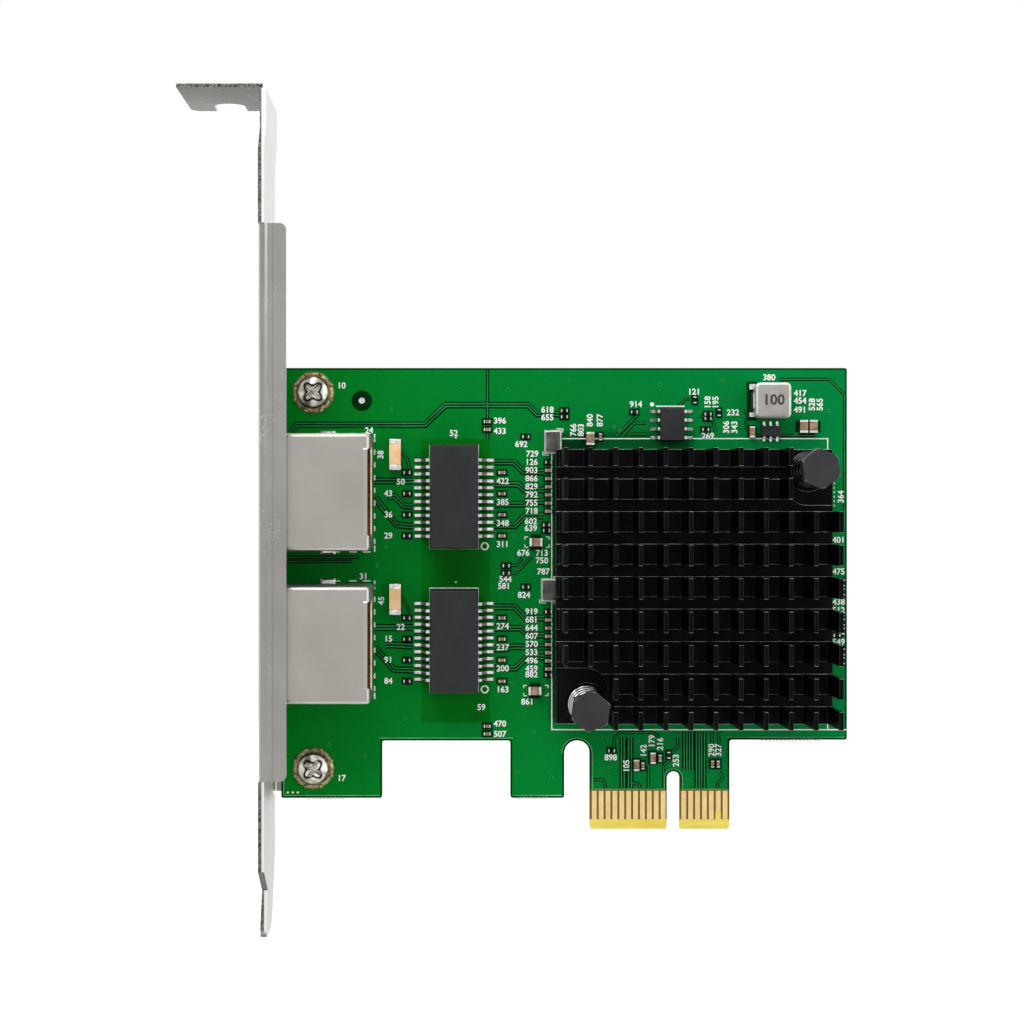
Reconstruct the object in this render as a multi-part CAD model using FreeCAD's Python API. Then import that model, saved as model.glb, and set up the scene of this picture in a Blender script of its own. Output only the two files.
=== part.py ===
"""Dual-port network interface card for a PCI Express x1 slot, with a full-height bracket.

The card stands upright: X runs along the board away from the bracket, Z points up from the contact
edge, and the component side faces -Y.  The origin lies on the contact edge, at the middle of the key
notch and of the board's thickness.  Heights are measured from the component face, towards -Y.
"""
import FreeCAD
import Part
import math
import os

V = FreeCAD.Vector

# ---------------------------------------------------------------- driving dimensions, in millimetres
# circuit board
board_thickness = 1.57
board_to_bracket = 1.23
board_right = 25.2
board_top = 67.0
board_leg_bottom = 4.55
board_step_bottom = 13.0
left_leg_right = -42.3
left_notch_top = 12.88
middle_leg_left = -23.67
relief_slot_width = 3.7
relief_slot_top = 12.9
board_corner_radius = 0.4
# contact tongue
tongue_left = -12.15
tongue_right = 8.15
tongue_corner = 0.5
key_notch_width = 1.9
key_notch_top = 8.4
contact_pitch = 1.0
contact_width = 0.7
contact_thickness = 0.05
contact_bottom = 1.4
contact_top = 5.6
short_contact_bottom = 2.5
contact_bevel_height = 1.3
contact_bevel_depth = 0.42
contacts_before_key = 11
contacts_after_key = 7
contact_to_key = 1.5
# bracket
sheet = 0.86
bracket_width = 18.42
bracket_outer = -59.05
bracket_top = 105.9
bracket_length = 120.02
flange_to_jack = 0.49
bracket_bend_radius = 0.4
tab_reach = 11.35
tab_corner_radius = 1.6
screw_slot_width = 4.5
screw_slot_depth = 5.9
screw_slot_to_blade = 5.4
upper_jog_offset = 0.28
upper_jog_top = 99.5
upper_jog_bottom = 96.6
flange_width = 3.9
flange_bottom = 8.65
flange_top = 86.2
flange_corner = 0.9
tongue_width = 10.19
shoulder_height = 3.2
tongue_length = 7.02
tongue_jog = 0.2
tongue_tip_offset = 0.12
tongue_end_radius = 2.4
ear_width = 7.0
ear_reach = 10.2
ear_relief = 0.5
ear_corner_radius = 1.2
ear_collar_radius = 2.3
ear_collar_height = 0.9
# bracket screws
bracket_screw_inset = 5.91
bracket_screw_z = (8.87, 63.45)
bracket_screw_diameter = 3.0
bracket_screw_clearance = 0.2
bracket_screw_head_radius = 2.36
bracket_screw_head_height = 1.7
bracket_screw_dome = 0.55
bracket_screw_reach = 4.6
recess_turns = (27, 45)
recess_length = 2.7
recess_width = 0.62
recess_depth = 1.1
# jacks
jack_names = ("lower", "upper")
jack_centres = (27.5, 48.87)
jack_width = 16.45
jack_length = 15.2
jack_height = 13.0
jack_front_recess = 0.3
jack_cutout_clearance = 0.12
jack_standoff = 0.15
housing_front_recess = 0.05
shield_sheet = 0.25
shield_corner_radius = 0.6
shield_seam_length = 12.2
shield_seam_width = 0.35
shield_leg_width = 1.3
shield_leg_depth = 8.6
shield_leg_reach = 2.6
shield_leg_hole_radius = 0.85
plug_width = 11.9
plug_bottom = 3.4
plug_to_jack_top = 2.4
plug_depth = 10.7
latch_width = 6.2
latch_bottom = 1.7
comb_width = 9.2
comb_front = 1.5
comb_clearance = 0.2
rear_chamber_front = 11.4
rear_chamber_back = 14.5
jack_contact_count = 8
jack_contact_pitch = 1.02
jack_contact_size = 0.35
jack_contact_rows = (11.8, 14.1)
jack_contact_crest_to_top = 1.1
jack_contact_tip_depth = 8.8
jack_contact_tip_drop = 3.6
jack_contact_nose_inset = 0.5
jack_contact_nose_drop = 0.25
jack_contact_bend_length = 1.2
jack_contact_tip_length = 0.1
jack_pin_reach = 2.9
jack_pin_hole_radius = 0.42
pin_hole_sides = 8
jack_peg_radius = 1.6
jack_peg_clearance = 0.05
jack_peg_depth = 6.35
jack_peg_to_jack_side = 2.505
jack_peg_reach = 2.5
window_width = 3.0
window_height = 1.9
window_to_jack_side = 2.525
window_bottom = 1.05
window_depth = 4.2
window_leg_spacing = 1.27
window_leg_inset = 0.8
window_front_recess = 0.15
window_back_clearance = 0.1
window_leg_socket = 0.5
# isolation transformers
transformer_x = -31.87
transformer_centres = (27.51, 48.29)
transformer_width = 7.0
transformer_tall = 15.05
transformer_height = 5.5
transformer_standoff = 0.2
transformer_draft = 0.25
transformer_lead_count = 12
transformer_lead_pitch = 1.0
transformer_lead_offset = -0.2
transformer_lead_width = 0.42
transformer_lead_span = 11.4
transformer_lead_height = 2.3
transformer_lead_metal = 0.22
transformer_lead_foot = 0.9
# controller, pad and heatsink
heatsink_left = -17.25
heatsink_right = 22.35
heatsink_bottom = 15.75
heatsink_top = 55.05
controller_size = 25.0
controller_thickness = 1.75
ball_height = 0.45
ball_radius = 0.32
ball_pitch = 3.2
balls_per_side = 7
ball_sides = 8
pad_size = 22.0
pad_thickness = 0.3
base_thickness = 2.5
fin_height = 9.0
fin_columns = 12
fin_rows = 9
fin_thickness = 0.6
fin_left_inset = 0.65
fin_right_inset = 0.05
fin_root_widening = 0.16
fin_root_height = 1.2
channel_width = 1.75
row_length = 2.9
channel_depth = 0.35
pocket_columns = 2
pocket_rows = 2
pocket_depth = 0.6
pocket_corner_radius = 3.0
pocket_margin = 0.3
pocket_overrun = 0.85
# heatsink fasteners
spring_screw_places = ((-12.92, 18.54), (18.81, 52.11))
spring_screw_turns = (8.6, -7.3)
spring_screw_diameter = 2.5
spring_screw_hole_radius = 1.6
spring_screw_counterbore_radius = 3.1
spring_screw_counterbore_depth = 0.4
hex_head_flats = 4.95
hex_head_height = 3.0
hex_head_top = 16.5
hex_head_chamfer = 0.22
spring_wire = 0.5
spring_base_radius = 2.5
spring_tip_radius = 1.9
spring_turns = 4.75
spring_start_turn = 20
spring_steps_per_turn = 14
spring_wire_sides = 6
nut_radius = 2.6
nut_height = 2.2
spring_screw_end = 2.6
# memory chip
memory_x = -0.25
memory_z = 58.77
memory_width = 3.6
memory_tall = 4.85
memory_height = 1.6
memory_standoff = 0.15
memory_draft = 0.12
memory_leads_per_side = 4
memory_lead_height = 0.95
memory_lead_metal = 0.18
memory_lead_foot = 0.6
memory_lead_pitch = 1.27
memory_lead_width = 0.42
memory_lead_span = 6.0
# inductor
inductor_x = 14.16
inductor_z = 62.19
inductor_size = 5.1
inductor_height = 3.0
inductor_corner = 0.7
inductor_edge_chamfer = 0.3
inductor_standoff = 0.1
inductor_terminal_width = 2.2
inductor_terminal_thickness = 0.2
inductor_terminal_height = 1.35
inductor_foot_length = 1.2
# regulator
regulator_x = 14.08
regulator_z = 57.78
regulator_length = 2.9
regulator_width = 1.6
regulator_height = 1.1
regulator_standoff = 0.08
regulator_draft = 0.08
regulator_leads_per_side = 3
regulator_lead_height = 0.65
regulator_lead_metal = 0.14
regulator_lead_foot = 0.4
regulator_lead_pitch = 0.95
regulator_lead_width = 0.38
regulator_lead_span = 2.8
# crystals
crystal_places = ((-17.97, 34.76), (-17.5, 56.25))
crystal_width = 2.5
crystal_tall = 3.4
crystal_base_height = 0.5
crystal_lid_height = 0.3
crystal_lid_margin = 0.12
crystal_lid_corner = 0.3
# isolation capacitors
isolation_capacitor_x = -40.4
isolation_capacitor_z = (33.45, 54.4)
isolation_capacitor_length = 4.5
isolation_capacitor_width = 1.7
isolation_capacitor_height = 1.5
isolation_capacitor_end = 0.75
# chip part sizes: length, width, height, end cap
CHIP_SMALL = (1.05, 0.52, 0.4, 0.25)
CHIP_MEDIUM = (1.7, 0.85, 0.7, 0.35)
CHIP_LARGE = (1.95, 1.25, 0.9, 0.42)
chip_cap_proud = 0.02
# rows of chip parts: pitch, and height of the first part of each row above the contact edge
network_rows = (51.8, 30.7)
network_pitch = 3.06
network_count = 4
series_resistor_x = -38.7
centre_tap_capacitor_x = -24.9
bypass_rows = (53.3, 31.6)
bypass_counts = (7, 8)
bypass_pitch = 1.185
bypass_to_heatsink = 0.88
edge_resistor_z = (35.8, 34.5, 30.1, 28.8, 25.8, 24.5)
edge_resistor_inset = 0.6

joint_gap = 0.02
overrun = 1.0  # how far a cutter passes the faces that it cuts

# ---------------------------------------------------------------- values worked out from the above
bracket_inner = bracket_outer + sheet
board_left = bracket_inner + board_to_bracket
bracket_screw_x = bracket_inner + bracket_screw_inset
bracket_bottom = bracket_top - bracket_length
shoulder_bottom = bracket_bottom + tongue_length
shoulder_top = shoulder_bottom + shoulder_height
bracket_front_height = jack_height + flange_to_jack + sheet
bracket_far_height = bracket_front_height - bracket_width
tab_end = bracket_outer - tab_reach
jack_front = bracket_outer + jack_front_recess
jack_back = jack_front + jack_length
plug_top = jack_height - plug_to_jack_top
jack_contact_crest = jack_height - jack_contact_crest_to_top
jack_contact_tip_height = jack_contact_crest - jack_contact_tip_drop
window_offset = jack_width / 2 - window_to_jack_side
jack_peg_offset = jack_width / 2 - jack_peg_to_jack_side
comb_top = jack_contact_crest + comb_clearance
wire_channel_bottom = jack_contact_crest - jack_contact_size - comb_clearance
base_bottom = ball_height + controller_thickness + pad_thickness
base_top = base_bottom + base_thickness
fin_top = base_top + fin_height
heatsink_x = (heatsink_left + heatsink_right) / 2
heatsink_z = (heatsink_bottom + heatsink_top) / 2
pocket_floor = base_top - pocket_depth
spring_seat = pocket_floor - spring_screw_counterbore_depth
hex_head_seat = hex_head_top - hex_head_height


def front(height):
    """Y coordinate of a point at this height above the component face."""
    return -board_thickness / 2 - height


def block(left, right, bottom, top, low, high):
    """Box between two heights above the component face."""
    return Part.makeBox(right - left, high - low, top - bottom, V(left, front(high), bottom))


def centred_block(x, z, width, tall, low, high):
    """Box about a point of the board, between two heights."""
    return block(x - width / 2, x + width / 2, z - tall / 2, z + tall / 2, low, high)


def peg(x, z, radius, low, high):
    """Round pin square to the board, between two heights."""
    return Part.makeCylinder(radius, high - low, V(x, front(low), z), V(0, -1, 0))


def plate(points, low, high):
    """Prism on an outline in the board's plane, between two heights."""
    corners = [V(x, front(low), z) for x, z in points]
    face = Part.Face(Part.makePolygon(corners + [corners[0]]))
    return face.extrude(V(0, low - high, 0))


def strip(points, bottom, top):
    """Prism along Z on an outline of (x, height) points."""
    corners = [V(x, front(height), bottom) for x, height in points]
    face = Part.Face(Part.makePolygon(corners + [corners[0]]))
    return face.extrude(V(0, 0, top - bottom))


def side_prism(points, left, right):
    """Prism along X on an outline of (height, z) points."""
    corners = [V(left, front(height), z) for height, z in points]
    face = Part.Face(Part.makePolygon(corners + [corners[0]]))
    return face.extrude(V(right - left, 0, 0))


def fuse_all(solids):
    """One shape of solids that touch or overlap."""
    return solids[0].multiFuse(solids[1:]).removeSplitter()


def rounded(shape, radius, wanted):
    """Fillet the straight edges that the test picks by their two end points."""
    edges = []
    for edge in shape.Edges:
        if len(edge.Vertexes) == 2 and wanted(edge.Vertexes[0].Point, edge.Vertexes[1].Point):
            edges.append(edge)
    return shape.makeFillet(radius, edges)


def along_y(start, end):
    """True for an edge square to the board."""
    return abs(start.x - end.x) < 1e-6 and abs(start.z - end.z) < 1e-6


def ring_points(x, z, radius, sides):
    """Corners of an even-sided outline about a point of the board."""
    return [(x + radius * math.cos(2 * math.pi * k / sides), z + radius * math.sin(2 * math.pi * k / sides))
            for k in range(sides)]


def export(name, shape):
    """Write one node."""
    shape.exportStep("parts/" + name + ".step")


# ---------------------------------------------------------------- circuit board
def board_holes():
    """Every drilled hole, as pins longer than the board is thick."""
    low = -board_thickness - overrun
    holes = []
    hole_radius = bracket_screw_diameter / 2 + bracket_screw_clearance
    for z in bracket_screw_z:
        holes.append(peg(bracket_screw_x, z, hole_radius, low, overrun))
    for x, z in spring_screw_places:
        holes.append(peg(x, z, spring_screw_hole_radius, low, overrun))
    for centre in jack_centres:
        for x, z in jack_pin_places(centre) + window_leg_places(centre):
            holes.append(plate(ring_points(x, z, jack_pin_hole_radius, pin_hole_sides), low, overrun))
        for side in (-1, 1):
            peg_z = centre + side * jack_peg_offset
            peg_hole = jack_peg_radius + jack_peg_clearance
            holes.append(peg(jack_front + jack_peg_depth, peg_z, peg_hole, low, overrun))
            leg_z = centre + side * (jack_width - shield_sheet) / 2
            leg_x = jack_front + shield_leg_depth
            holes.append(peg(leg_x, leg_z, shield_leg_hole_radius, low, overrun))
    return holes


def circuit_board():
    relief_left = tongue_left - relief_slot_width
    key_half = key_notch_width / 2
    outline = [
        (board_left, board_leg_bottom), (left_leg_right, board_leg_bottom),
        (left_leg_right, left_notch_top), (middle_leg_left, left_notch_top),
        (middle_leg_left, board_leg_bottom), (relief_left, board_leg_bottom),
        (relief_left, board_step_bottom), (tongue_left, board_step_bottom),
        (tongue_left, 0), (tongue_right, 0),
        (tongue_right, board_step_bottom), (board_right, board_step_bottom),
        (board_right, board_top), (board_left, board_top)]
    board = plate(outline, -board_thickness, 0)

    def corner(start, end):
        if not along_y(start, end):
            return False
        at_key = abs(start.x) < key_half + 0.01
        in_relief = relief_left - 0.01 < start.x < tongue_left + 0.01 and start.z > board_step_bottom - 0.01
        return not (at_key or in_relief)
    board = rounded(board, board_corner_radius, corner)

    relief_radius = relief_slot_width / 2
    relief_x = tongue_left - relief_radius
    relief_floor = relief_slot_top - relief_radius
    filler = centred_block(relief_x, (relief_floor + board_step_bottom) / 2, relief_slot_width,
                           board_step_bottom - relief_floor, -board_thickness, 0)
    filler = filler.cut(peg(relief_x, relief_floor, relief_radius, -board_thickness - overrun, overrun))
    board = board.fuse(filler).removeSplitter()

    key_floor = key_notch_top - key_half
    key = block(-key_half, key_half, -overrun, key_floor, -board_thickness - overrun, overrun)
    key = key.fuse(peg(0, key_floor, key_half, -board_thickness - overrun, overrun))
    cutters = [key] + board_holes()

    for face_height, direction in ((0, -1), (-board_thickness, 1)):
        bevel = [(face_height + direction * contact_bevel_depth, 0), (face_height, contact_bevel_height),
                 (face_height - direction, contact_bevel_height), (face_height - direction, -overrun),
                 (face_height + direction * contact_bevel_depth, -overrun)]
        cutters.append(side_prism(bevel, tongue_left - overrun, tongue_right + overrun))
    return board.cut(Part.makeCompound(cutters))


def contact_places():
    """X of every contact, in two runs on either side of the key notch."""
    before = [-contact_to_key - contact_pitch * k for k in range(contacts_before_key)]
    after = [contact_to_key + contact_pitch * k for k in range(contacts_after_key)]
    return sorted(before) + after


def edge_contacts():
    pads = []
    places = contact_places()
    for low in (0, -board_thickness - contact_thickness):
        for index, x in enumerate(places):
            short = index == (len(places) - 2 if low == 0 else 0)  # the presence-detect contacts
            bottom = short_contact_bottom if short else contact_bottom
            half = contact_width / 2
            pads.append(block(x - half, x + half, bottom, contact_top, low, low + contact_thickness))
    return Part.makeCompound(pads)


# ---------------------------------------------------------------- bracket
def bracket_strip():
    """Blade, screw tab and tongue, as one bent strip of full width."""
    radius = bracket_bend_radius
    upper_outer = bracket_outer + upper_jog_offset
    upper_inner = upper_outer + sheet
    under_tab = bracket_top - sheet
    y = front(bracket_front_height)

    def point(x, z):
        return V(x, y, z)

    bend_x = upper_outer - radius
    bend_z = under_tab - radius
    diagonal = math.sqrt(0.5)
    outside = [
        (upper_inner, bend_z), (upper_inner, upper_jog_top), (bracket_inner, upper_jog_bottom),
        (bracket_inner, shoulder_top), (bracket_inner + tongue_jog, shoulder_bottom),
        (bracket_inner - tongue_tip_offset, bracket_bottom),
        (bracket_outer - tongue_tip_offset, bracket_bottom),
        (bracket_outer + tongue_jog, shoulder_bottom), (bracket_outer, shoulder_top),
        (bracket_outer, upper_jog_bottom), (upper_outer, upper_jog_top), (upper_outer, bend_z)]
    edges = [Part.makePolygon([point(x, z) for x, z in outside])]
    edges.append(Part.Arc(point(upper_outer, bend_z),
                          point(bend_x + radius * diagonal, bend_z + radius * diagonal),
                          point(bend_x, under_tab)).toShape())
    edges.append(Part.makePolygon([point(bend_x, under_tab), point(tab_end, under_tab),
                                   point(tab_end, bracket_top), point(bend_x, bracket_top)]))
    outer_radius = radius + sheet
    edges.append(Part.Arc(point(bend_x, bracket_top),
                          point(bend_x + outer_radius * diagonal, bend_z + outer_radius * diagonal),
                          point(upper_inner, bend_z)).toShape())
    pieces = []
    for item in edges:
        pieces.extend(item.Edges)
    return Part.Face(Part.Wire(pieces)).extrude(V(0, bracket_width, 0))


def bracket_cutters():
    """What is stamped out of the flat strip."""
    low = bracket_far_height
    high = bracket_front_height
    side = (bracket_width - tongue_width) / 2
    left = bracket_outer - overrun
    right = bracket_inner + overrun
    cutters = []
    for edge, inward in ((high, -1), (low, 1)):
        outline = [(edge, shoulder_top), (edge + inward * side, shoulder_bottom),
                   (edge + inward * side, bracket_bottom - overrun),
                   (edge - inward, bracket_bottom - overrun),
                   (edge - inward, shoulder_top)]
        cutters.append(side_prism(outline, left, right))
        corner = tongue_end_radius
        inner = edge + inward * (side + corner)
        corner_box = side_prism([(edge + inward * side, bracket_bottom), (inner, bracket_bottom),
                                 (inner, bracket_bottom + corner),
                                 (edge + inward * side, bracket_bottom + corner)], left, right)
        round_end = Part.makeCylinder(corner, right - left, V(left, front(inner), bracket_bottom + corner),
                                      V(1, 0, 0))
        cutters.append(corner_box.cut(round_end))

    slot_x = bracket_outer - screw_slot_to_blade
    slot_radius = screw_slot_width / 2
    slot_centre = low + screw_slot_depth - slot_radius
    under = bracket_top - sheet - overrun
    over = bracket_top + overrun
    slot = block(slot_x - slot_radius, slot_x + slot_radius, under, over, low - overrun, slot_centre)
    slot_end = Part.makeCylinder(slot_radius, over - under, V(slot_x, front(slot_centre), under), V(0, 0, 1))
    cutters.append(slot.fuse(slot_end))

    corner = tab_corner_radius
    corner_box = block(tab_end - overrun, tab_end + corner, under, over, low - overrun, low + corner)
    corner_round = Part.makeCylinder(corner, over - under, V(tab_end + corner, front(low + corner), under),
                                     V(0, 0, 1))
    cutters.append(corner_box.cut(corner_round))

    for centre in jack_centres:
        half = jack_width / 2 + jack_cutout_clearance
        cutters.append(block(left, right, centre - half, centre + half,
                             -jack_cutout_clearance, jack_height + jack_cutout_clearance))
    for z in bracket_screw_z:
        half = ear_width / 2 + ear_relief
        cutters.append(block(left, right, z - half, z + half, low - overrun, -board_thickness - sheet))
        for edge in (-1, 1):
            relief = sorted((z + edge * ear_width / 2, z + edge * half))
            cutters.append(block(left, right, relief[0], relief[1], low - overrun,
                                 -board_thickness + bracket_bend_radius))
    return cutters


def bracket_flange():
    """Stiffening flange folded from the component-side edge of the blade."""
    outer_radius = sheet + bracket_bend_radius
    x = bracket_outer + outer_radius
    height = bracket_front_height - outer_radius
    right = bracket_outer + flange_width
    solid_corner = strip([(bracket_outer, height), (bracket_outer, bracket_front_height),
                          (right, bracket_front_height), (right, bracket_front_height - sheet),
                          (x, bracket_front_height - sheet), (x, height)], flange_bottom, flange_top)
    length = flange_top - flange_bottom
    start = flange_bottom - overrun
    round_out = block(bracket_outer - overrun, x, start, flange_top + overrun, height,
                      bracket_front_height + overrun)
    outside = Part.makeCylinder(outer_radius, length + 2 * overrun, V(x, front(height), start))
    inside = Part.makeCylinder(bracket_bend_radius, length + 2 * overrun, V(x, front(height), start))
    flange = solid_corner.cut(round_out.cut(outside)).cut(inside)

    def outer_corner(start, end):
        return along_y(start, end) and abs(start.x - right) < 1e-6
    return rounded(flange, flange_corner, outer_corner)


def bracket_ears():
    """Two ears folded behind the board, each with a threaded collar."""
    ears = []
    radius = bracket_bend_radius
    for z in bracket_screw_z:
        bottom = z - ear_width / 2
        top = z + ear_width / 2
        face = -board_thickness
        x = bracket_inner + radius
        ear = strip([(bracket_outer, face + radius), (bracket_outer, face - sheet),
                     (bracket_inner + ear_reach, face - sheet), (bracket_inner + ear_reach, face),
                     (x, face), (x, face + radius)], bottom, top)
        outer_radius = sheet + radius
        corner_x = bracket_outer + outer_radius
        corner = block(bracket_outer - overrun, corner_x, bottom - overrun, top + overrun,
                       face - sheet - overrun, face - sheet + outer_radius)
        bend = Part.makeCylinder(outer_radius, ear_width + 2 * overrun,
                                 V(corner_x, front(face - sheet + outer_radius), bottom - overrun))
        ear = ear.cut(corner.cut(bend))
        inside = Part.makeCylinder(radius, ear_width + 2 * overrun,
                                   V(x, front(face + radius), bottom - overrun))
        ear = ear.cut(inside)
        end_x = bracket_inner + ear_reach

        def end_corner(start, end):
            return along_y(start, end) and abs(start.x - end_x) < 1e-6
        ear = rounded(ear, ear_corner_radius, end_corner)
        collar = peg(bracket_screw_x, z, ear_collar_radius, face - sheet - ear_collar_height, face - sheet)
        ears.append(ear.fuse(collar))
    return ears


def bracket():
    strip_shape = bracket_strip().cut(Part.makeCompound(bracket_cutters()))
    outer_radius = sheet + bracket_bend_radius
    fold_room = block(bracket_outer - overrun, bracket_inner + overrun, flange_bottom, flange_top,
                      bracket_front_height - outer_radius, bracket_front_height + overrun)
    body = strip_shape.cut(fold_room)
    body = fuse_all([body, bracket_flange()] + bracket_ears())
    through = -board_thickness - sheet - ear_collar_height - overrun
    threads = [peg(bracket_screw_x, z, bracket_screw_diameter / 2, through, 0) for z in bracket_screw_z]
    return body.cut(Part.makeCompound(threads))


def bracket_screws():
    """Pan-head screws with a cross recess, through the board into the ears."""
    screws = []
    for z, recess_turn in zip(bracket_screw_z, recess_turns):
        rim = bracket_screw_head_height - bracket_screw_dome
        sphere_radius = (bracket_screw_head_radius ** 2 + bracket_screw_dome ** 2) / (2 * bracket_screw_dome)
        dome = Part.makeSphere(sphere_radius, V(bracket_screw_x,
                               front(bracket_screw_head_height - sphere_radius), z))
        dome = dome.common(peg(bracket_screw_x, z, bracket_screw_head_radius, rim,
                               bracket_screw_head_height))
        head = peg(bracket_screw_x, z, bracket_screw_head_radius, 0, rim).fuse(dome)
        shank = peg(bracket_screw_x, z, bracket_screw_diameter / 2 - joint_gap, -bracket_screw_reach, 0)
        screw = head.fuse(shank).removeSplitter()
        top = bracket_screw_head_height
        for turn in (0, 90):
            arm = centred_block(0, 0, recess_length, recess_width, top - recess_depth, top + overrun)
            arm.rotate(V(0, 0, 0), V(0, 1, 0), turn + recess_turn)
            arm.translate(V(bracket_screw_x, 0, z))
            screw = screw.cut(arm)
        screws.append(screw)
    return Part.makeCompound(screws)


# ---------------------------------------------------------------- jacks
def jack_pin_places(centre):
    """Where the contacts' tails pass through the board."""
    places = []
    for k in range(jack_contact_count):
        z = centre + (k - (jack_contact_count - 1) / 2) * jack_contact_pitch
        places.append((jack_front + jack_contact_rows[k % 2], z))
    return places


def window_leg_places(centre):
    """Where the legs of the two lamps pass through the board."""
    places = []
    for side in (-1, 1):
        for step in (-0.5, 0.5):
            z = centre + side * window_offset + step * window_leg_spacing
            places.append((jack_front + window_depth - window_leg_inset, z))
    return places


def jack_shield(centre):
    """Sheet-metal cover: top, two sides and back, open at the mouth and below."""
    half = jack_width / 2
    cover = block(jack_front, jack_back, centre - half, centre + half, jack_standoff, jack_height)

    def outer_edge(start, end):
        at_top = abs(start.y - front(jack_height)) < 1e-6 and abs(end.y - front(jack_height)) < 1e-6
        at_back = abs(start.x - jack_back) < 1e-6 and abs(end.x - jack_back) < 1e-6
        along_x = abs(start.z - end.z) < 1e-6 and abs(start.y - end.y) < 1e-6
        return (at_top and (along_x or at_back)) or (at_back and along_y(start, end))
    cover = rounded(cover, shield_corner_radius, outer_edge)
    inner_half = half - shield_sheet
    room = block(jack_front - overrun, jack_back - shield_sheet, centre - inner_half, centre + inner_half,
                 jack_standoff - overrun, jack_height - shield_sheet)
    cover = cover.cut(room)
    seam_half = shield_seam_length / 2
    seam = block(jack_back - shield_corner_radius - shield_seam_width, jack_back - shield_corner_radius,
                 centre - seam_half, centre + seam_half, jack_height - overrun, jack_height + overrun)
    cover = cover.cut(seam)
    leg_x = jack_front + shield_leg_depth
    legs = []
    for side in (-1, 1):
        z = centre + side * (half - shield_sheet / 2)
        legs.append(centred_block(leg_x, z, shield_leg_width, shield_sheet, -shield_leg_reach,
                                  jack_standoff))
    return fuse_all([cover] + legs)


def jack_housing(centre):
    """Moulded insert: plug opening, latch keyway, contact comb and rear chamber."""
    half = jack_width / 2 - shield_sheet
    top = jack_height - shield_sheet
    body = block(jack_front + housing_front_recess, jack_back - shield_sheet - shield_corner_radius,
                 centre - half, centre + half, jack_standoff, top)
    mouth = jack_front - overrun
    cutters = [
        block(mouth, jack_front + plug_depth, centre - plug_width / 2, centre + plug_width / 2,
              plug_bottom, plug_top),
        block(mouth, jack_front + plug_depth, centre - latch_width / 2, centre + latch_width / 2,
              latch_bottom, plug_bottom + overrun),
        block(jack_front + comb_front, jack_front + plug_depth, centre - comb_width / 2,
              centre + comb_width / 2, plug_top - overrun, comb_top),
        block(jack_front + comb_front, jack_front + rear_chamber_back, centre - comb_width / 2,
              centre + comb_width / 2, wire_channel_bottom, comb_top),
        block(jack_front + rear_chamber_front, jack_front + rear_chamber_back, centre - comb_width / 2,
              centre + comb_width / 2, -overrun, comb_top)]
    for side in (-1, 1):
        z = centre + side * window_offset
        half_window = window_width / 2
        cutters.append(block(mouth, jack_front + window_depth, z - half_window, z + half_window,
                             window_bottom, window_bottom + window_height))
    for x, z in window_leg_places(centre):
        cutters.append(plate(ring_points(x, z, jack_pin_hole_radius, pin_hole_sides), -overrun,
                             window_bottom + window_leg_socket))
    body = body.cut(Part.makeCompound(cutters))
    pegs = [peg(jack_front + jack_peg_depth, centre + side * jack_peg_offset, jack_peg_radius,
                -jack_peg_reach, jack_standoff) for side in (-1, 1)]
    return fuse_all([body] + pegs)


def jack_contacts(centre):
    """Eight bent contact wires, and the legs of the two lamps."""
    size = jack_contact_size
    wires = []
    for x, z in jack_pin_places(centre):
        tail = x - size / 2
        crest = jack_contact_crest
        nose = jack_front + comb_front + jack_contact_nose_inset
        tip = jack_front + jack_contact_tip_depth
        tip_height = jack_contact_tip_height
        outline = [
            (tail, -jack_pin_reach), (tail + size, -jack_pin_reach), (tail + size, crest),
            (nose, crest), (nose, crest - size - jack_contact_nose_drop), (tip, tip_height),
            (tip + jack_contact_tip_length, tip_height + size),
            (nose + jack_contact_bend_length, crest - size), (tail, crest - size)]
        wires.append(strip(outline, z - size / 2, z + size / 2))
    for x, z in window_leg_places(centre):
        wires.append(centred_block(x, z, size, size, -jack_pin_reach, window_bottom))
    return Part.makeCompound(wires)


def jack_windows(centre):
    """Lamp bodies that show at the mouth of the jack."""
    lamps = []
    face = jack_front + window_front_recess
    for side in (-1, 1):
        z = centre + side * window_offset
        half_window = window_width / 2 - joint_gap
        lamps.append(block(face, jack_front + window_depth - window_back_clearance, z - half_window,
                           z + half_window, window_bottom, window_bottom + window_height - joint_gap))
    return Part.makeCompound(lamps)


# ---------------------------------------------------------------- packages with gull-wing leads
def moulded_body(x, z, width, tall, low, high, draft):
    """Moulded package whose sides slope away from a parting line at half height."""
    sections = []
    for height, shrink in ((low, draft), ((low + high) / 2, 0), (high, draft)):
        half_w = width / 2 - shrink
        half_t = tall / 2 - shrink
        corners = [V(x - half_w, front(height), z - half_t), V(x + half_w, front(height), z - half_t),
                   V(x + half_w, front(height), z + half_t), V(x - half_w, front(height), z + half_t)]
        sections.append(Part.makePolygon(corners + [corners[0]]))
    return Part.makeLoft(sections, True, True)


def gull_lead(root, tip, along, width, exit_height, metal, foot):
    """Lead from a body's side at root, over a shoulder and down to a foot that ends at tip."""
    sign = 1 if tip > root else -1
    shoulder = root + sign * 0.35 * (abs(tip - root) - foot + metal)
    knee = tip - sign * foot
    outline = [
        (root, exit_height), (shoulder, exit_height), (knee, metal), (tip, metal), (tip, 0),
        (knee - sign * metal, 0), (shoulder - sign * metal * 0.4, exit_height - metal),
        (root, exit_height - metal)]
    return strip(outline, along - width / 2, along + width / 2)


def side_leads(x, z, body_width, span, count, pitch, width, exit_height, metal, foot):
    """Two rows of leads, to the left and right of a body."""
    leads = []
    for k in range(count):
        along = z + (k - (count - 1) / 2) * pitch
        for side in (-1, 1):
            leads.append(gull_lead(x + side * body_width / 2, x + side * span / 2, along, width,
                                   exit_height, metal, foot))
    return leads


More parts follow.
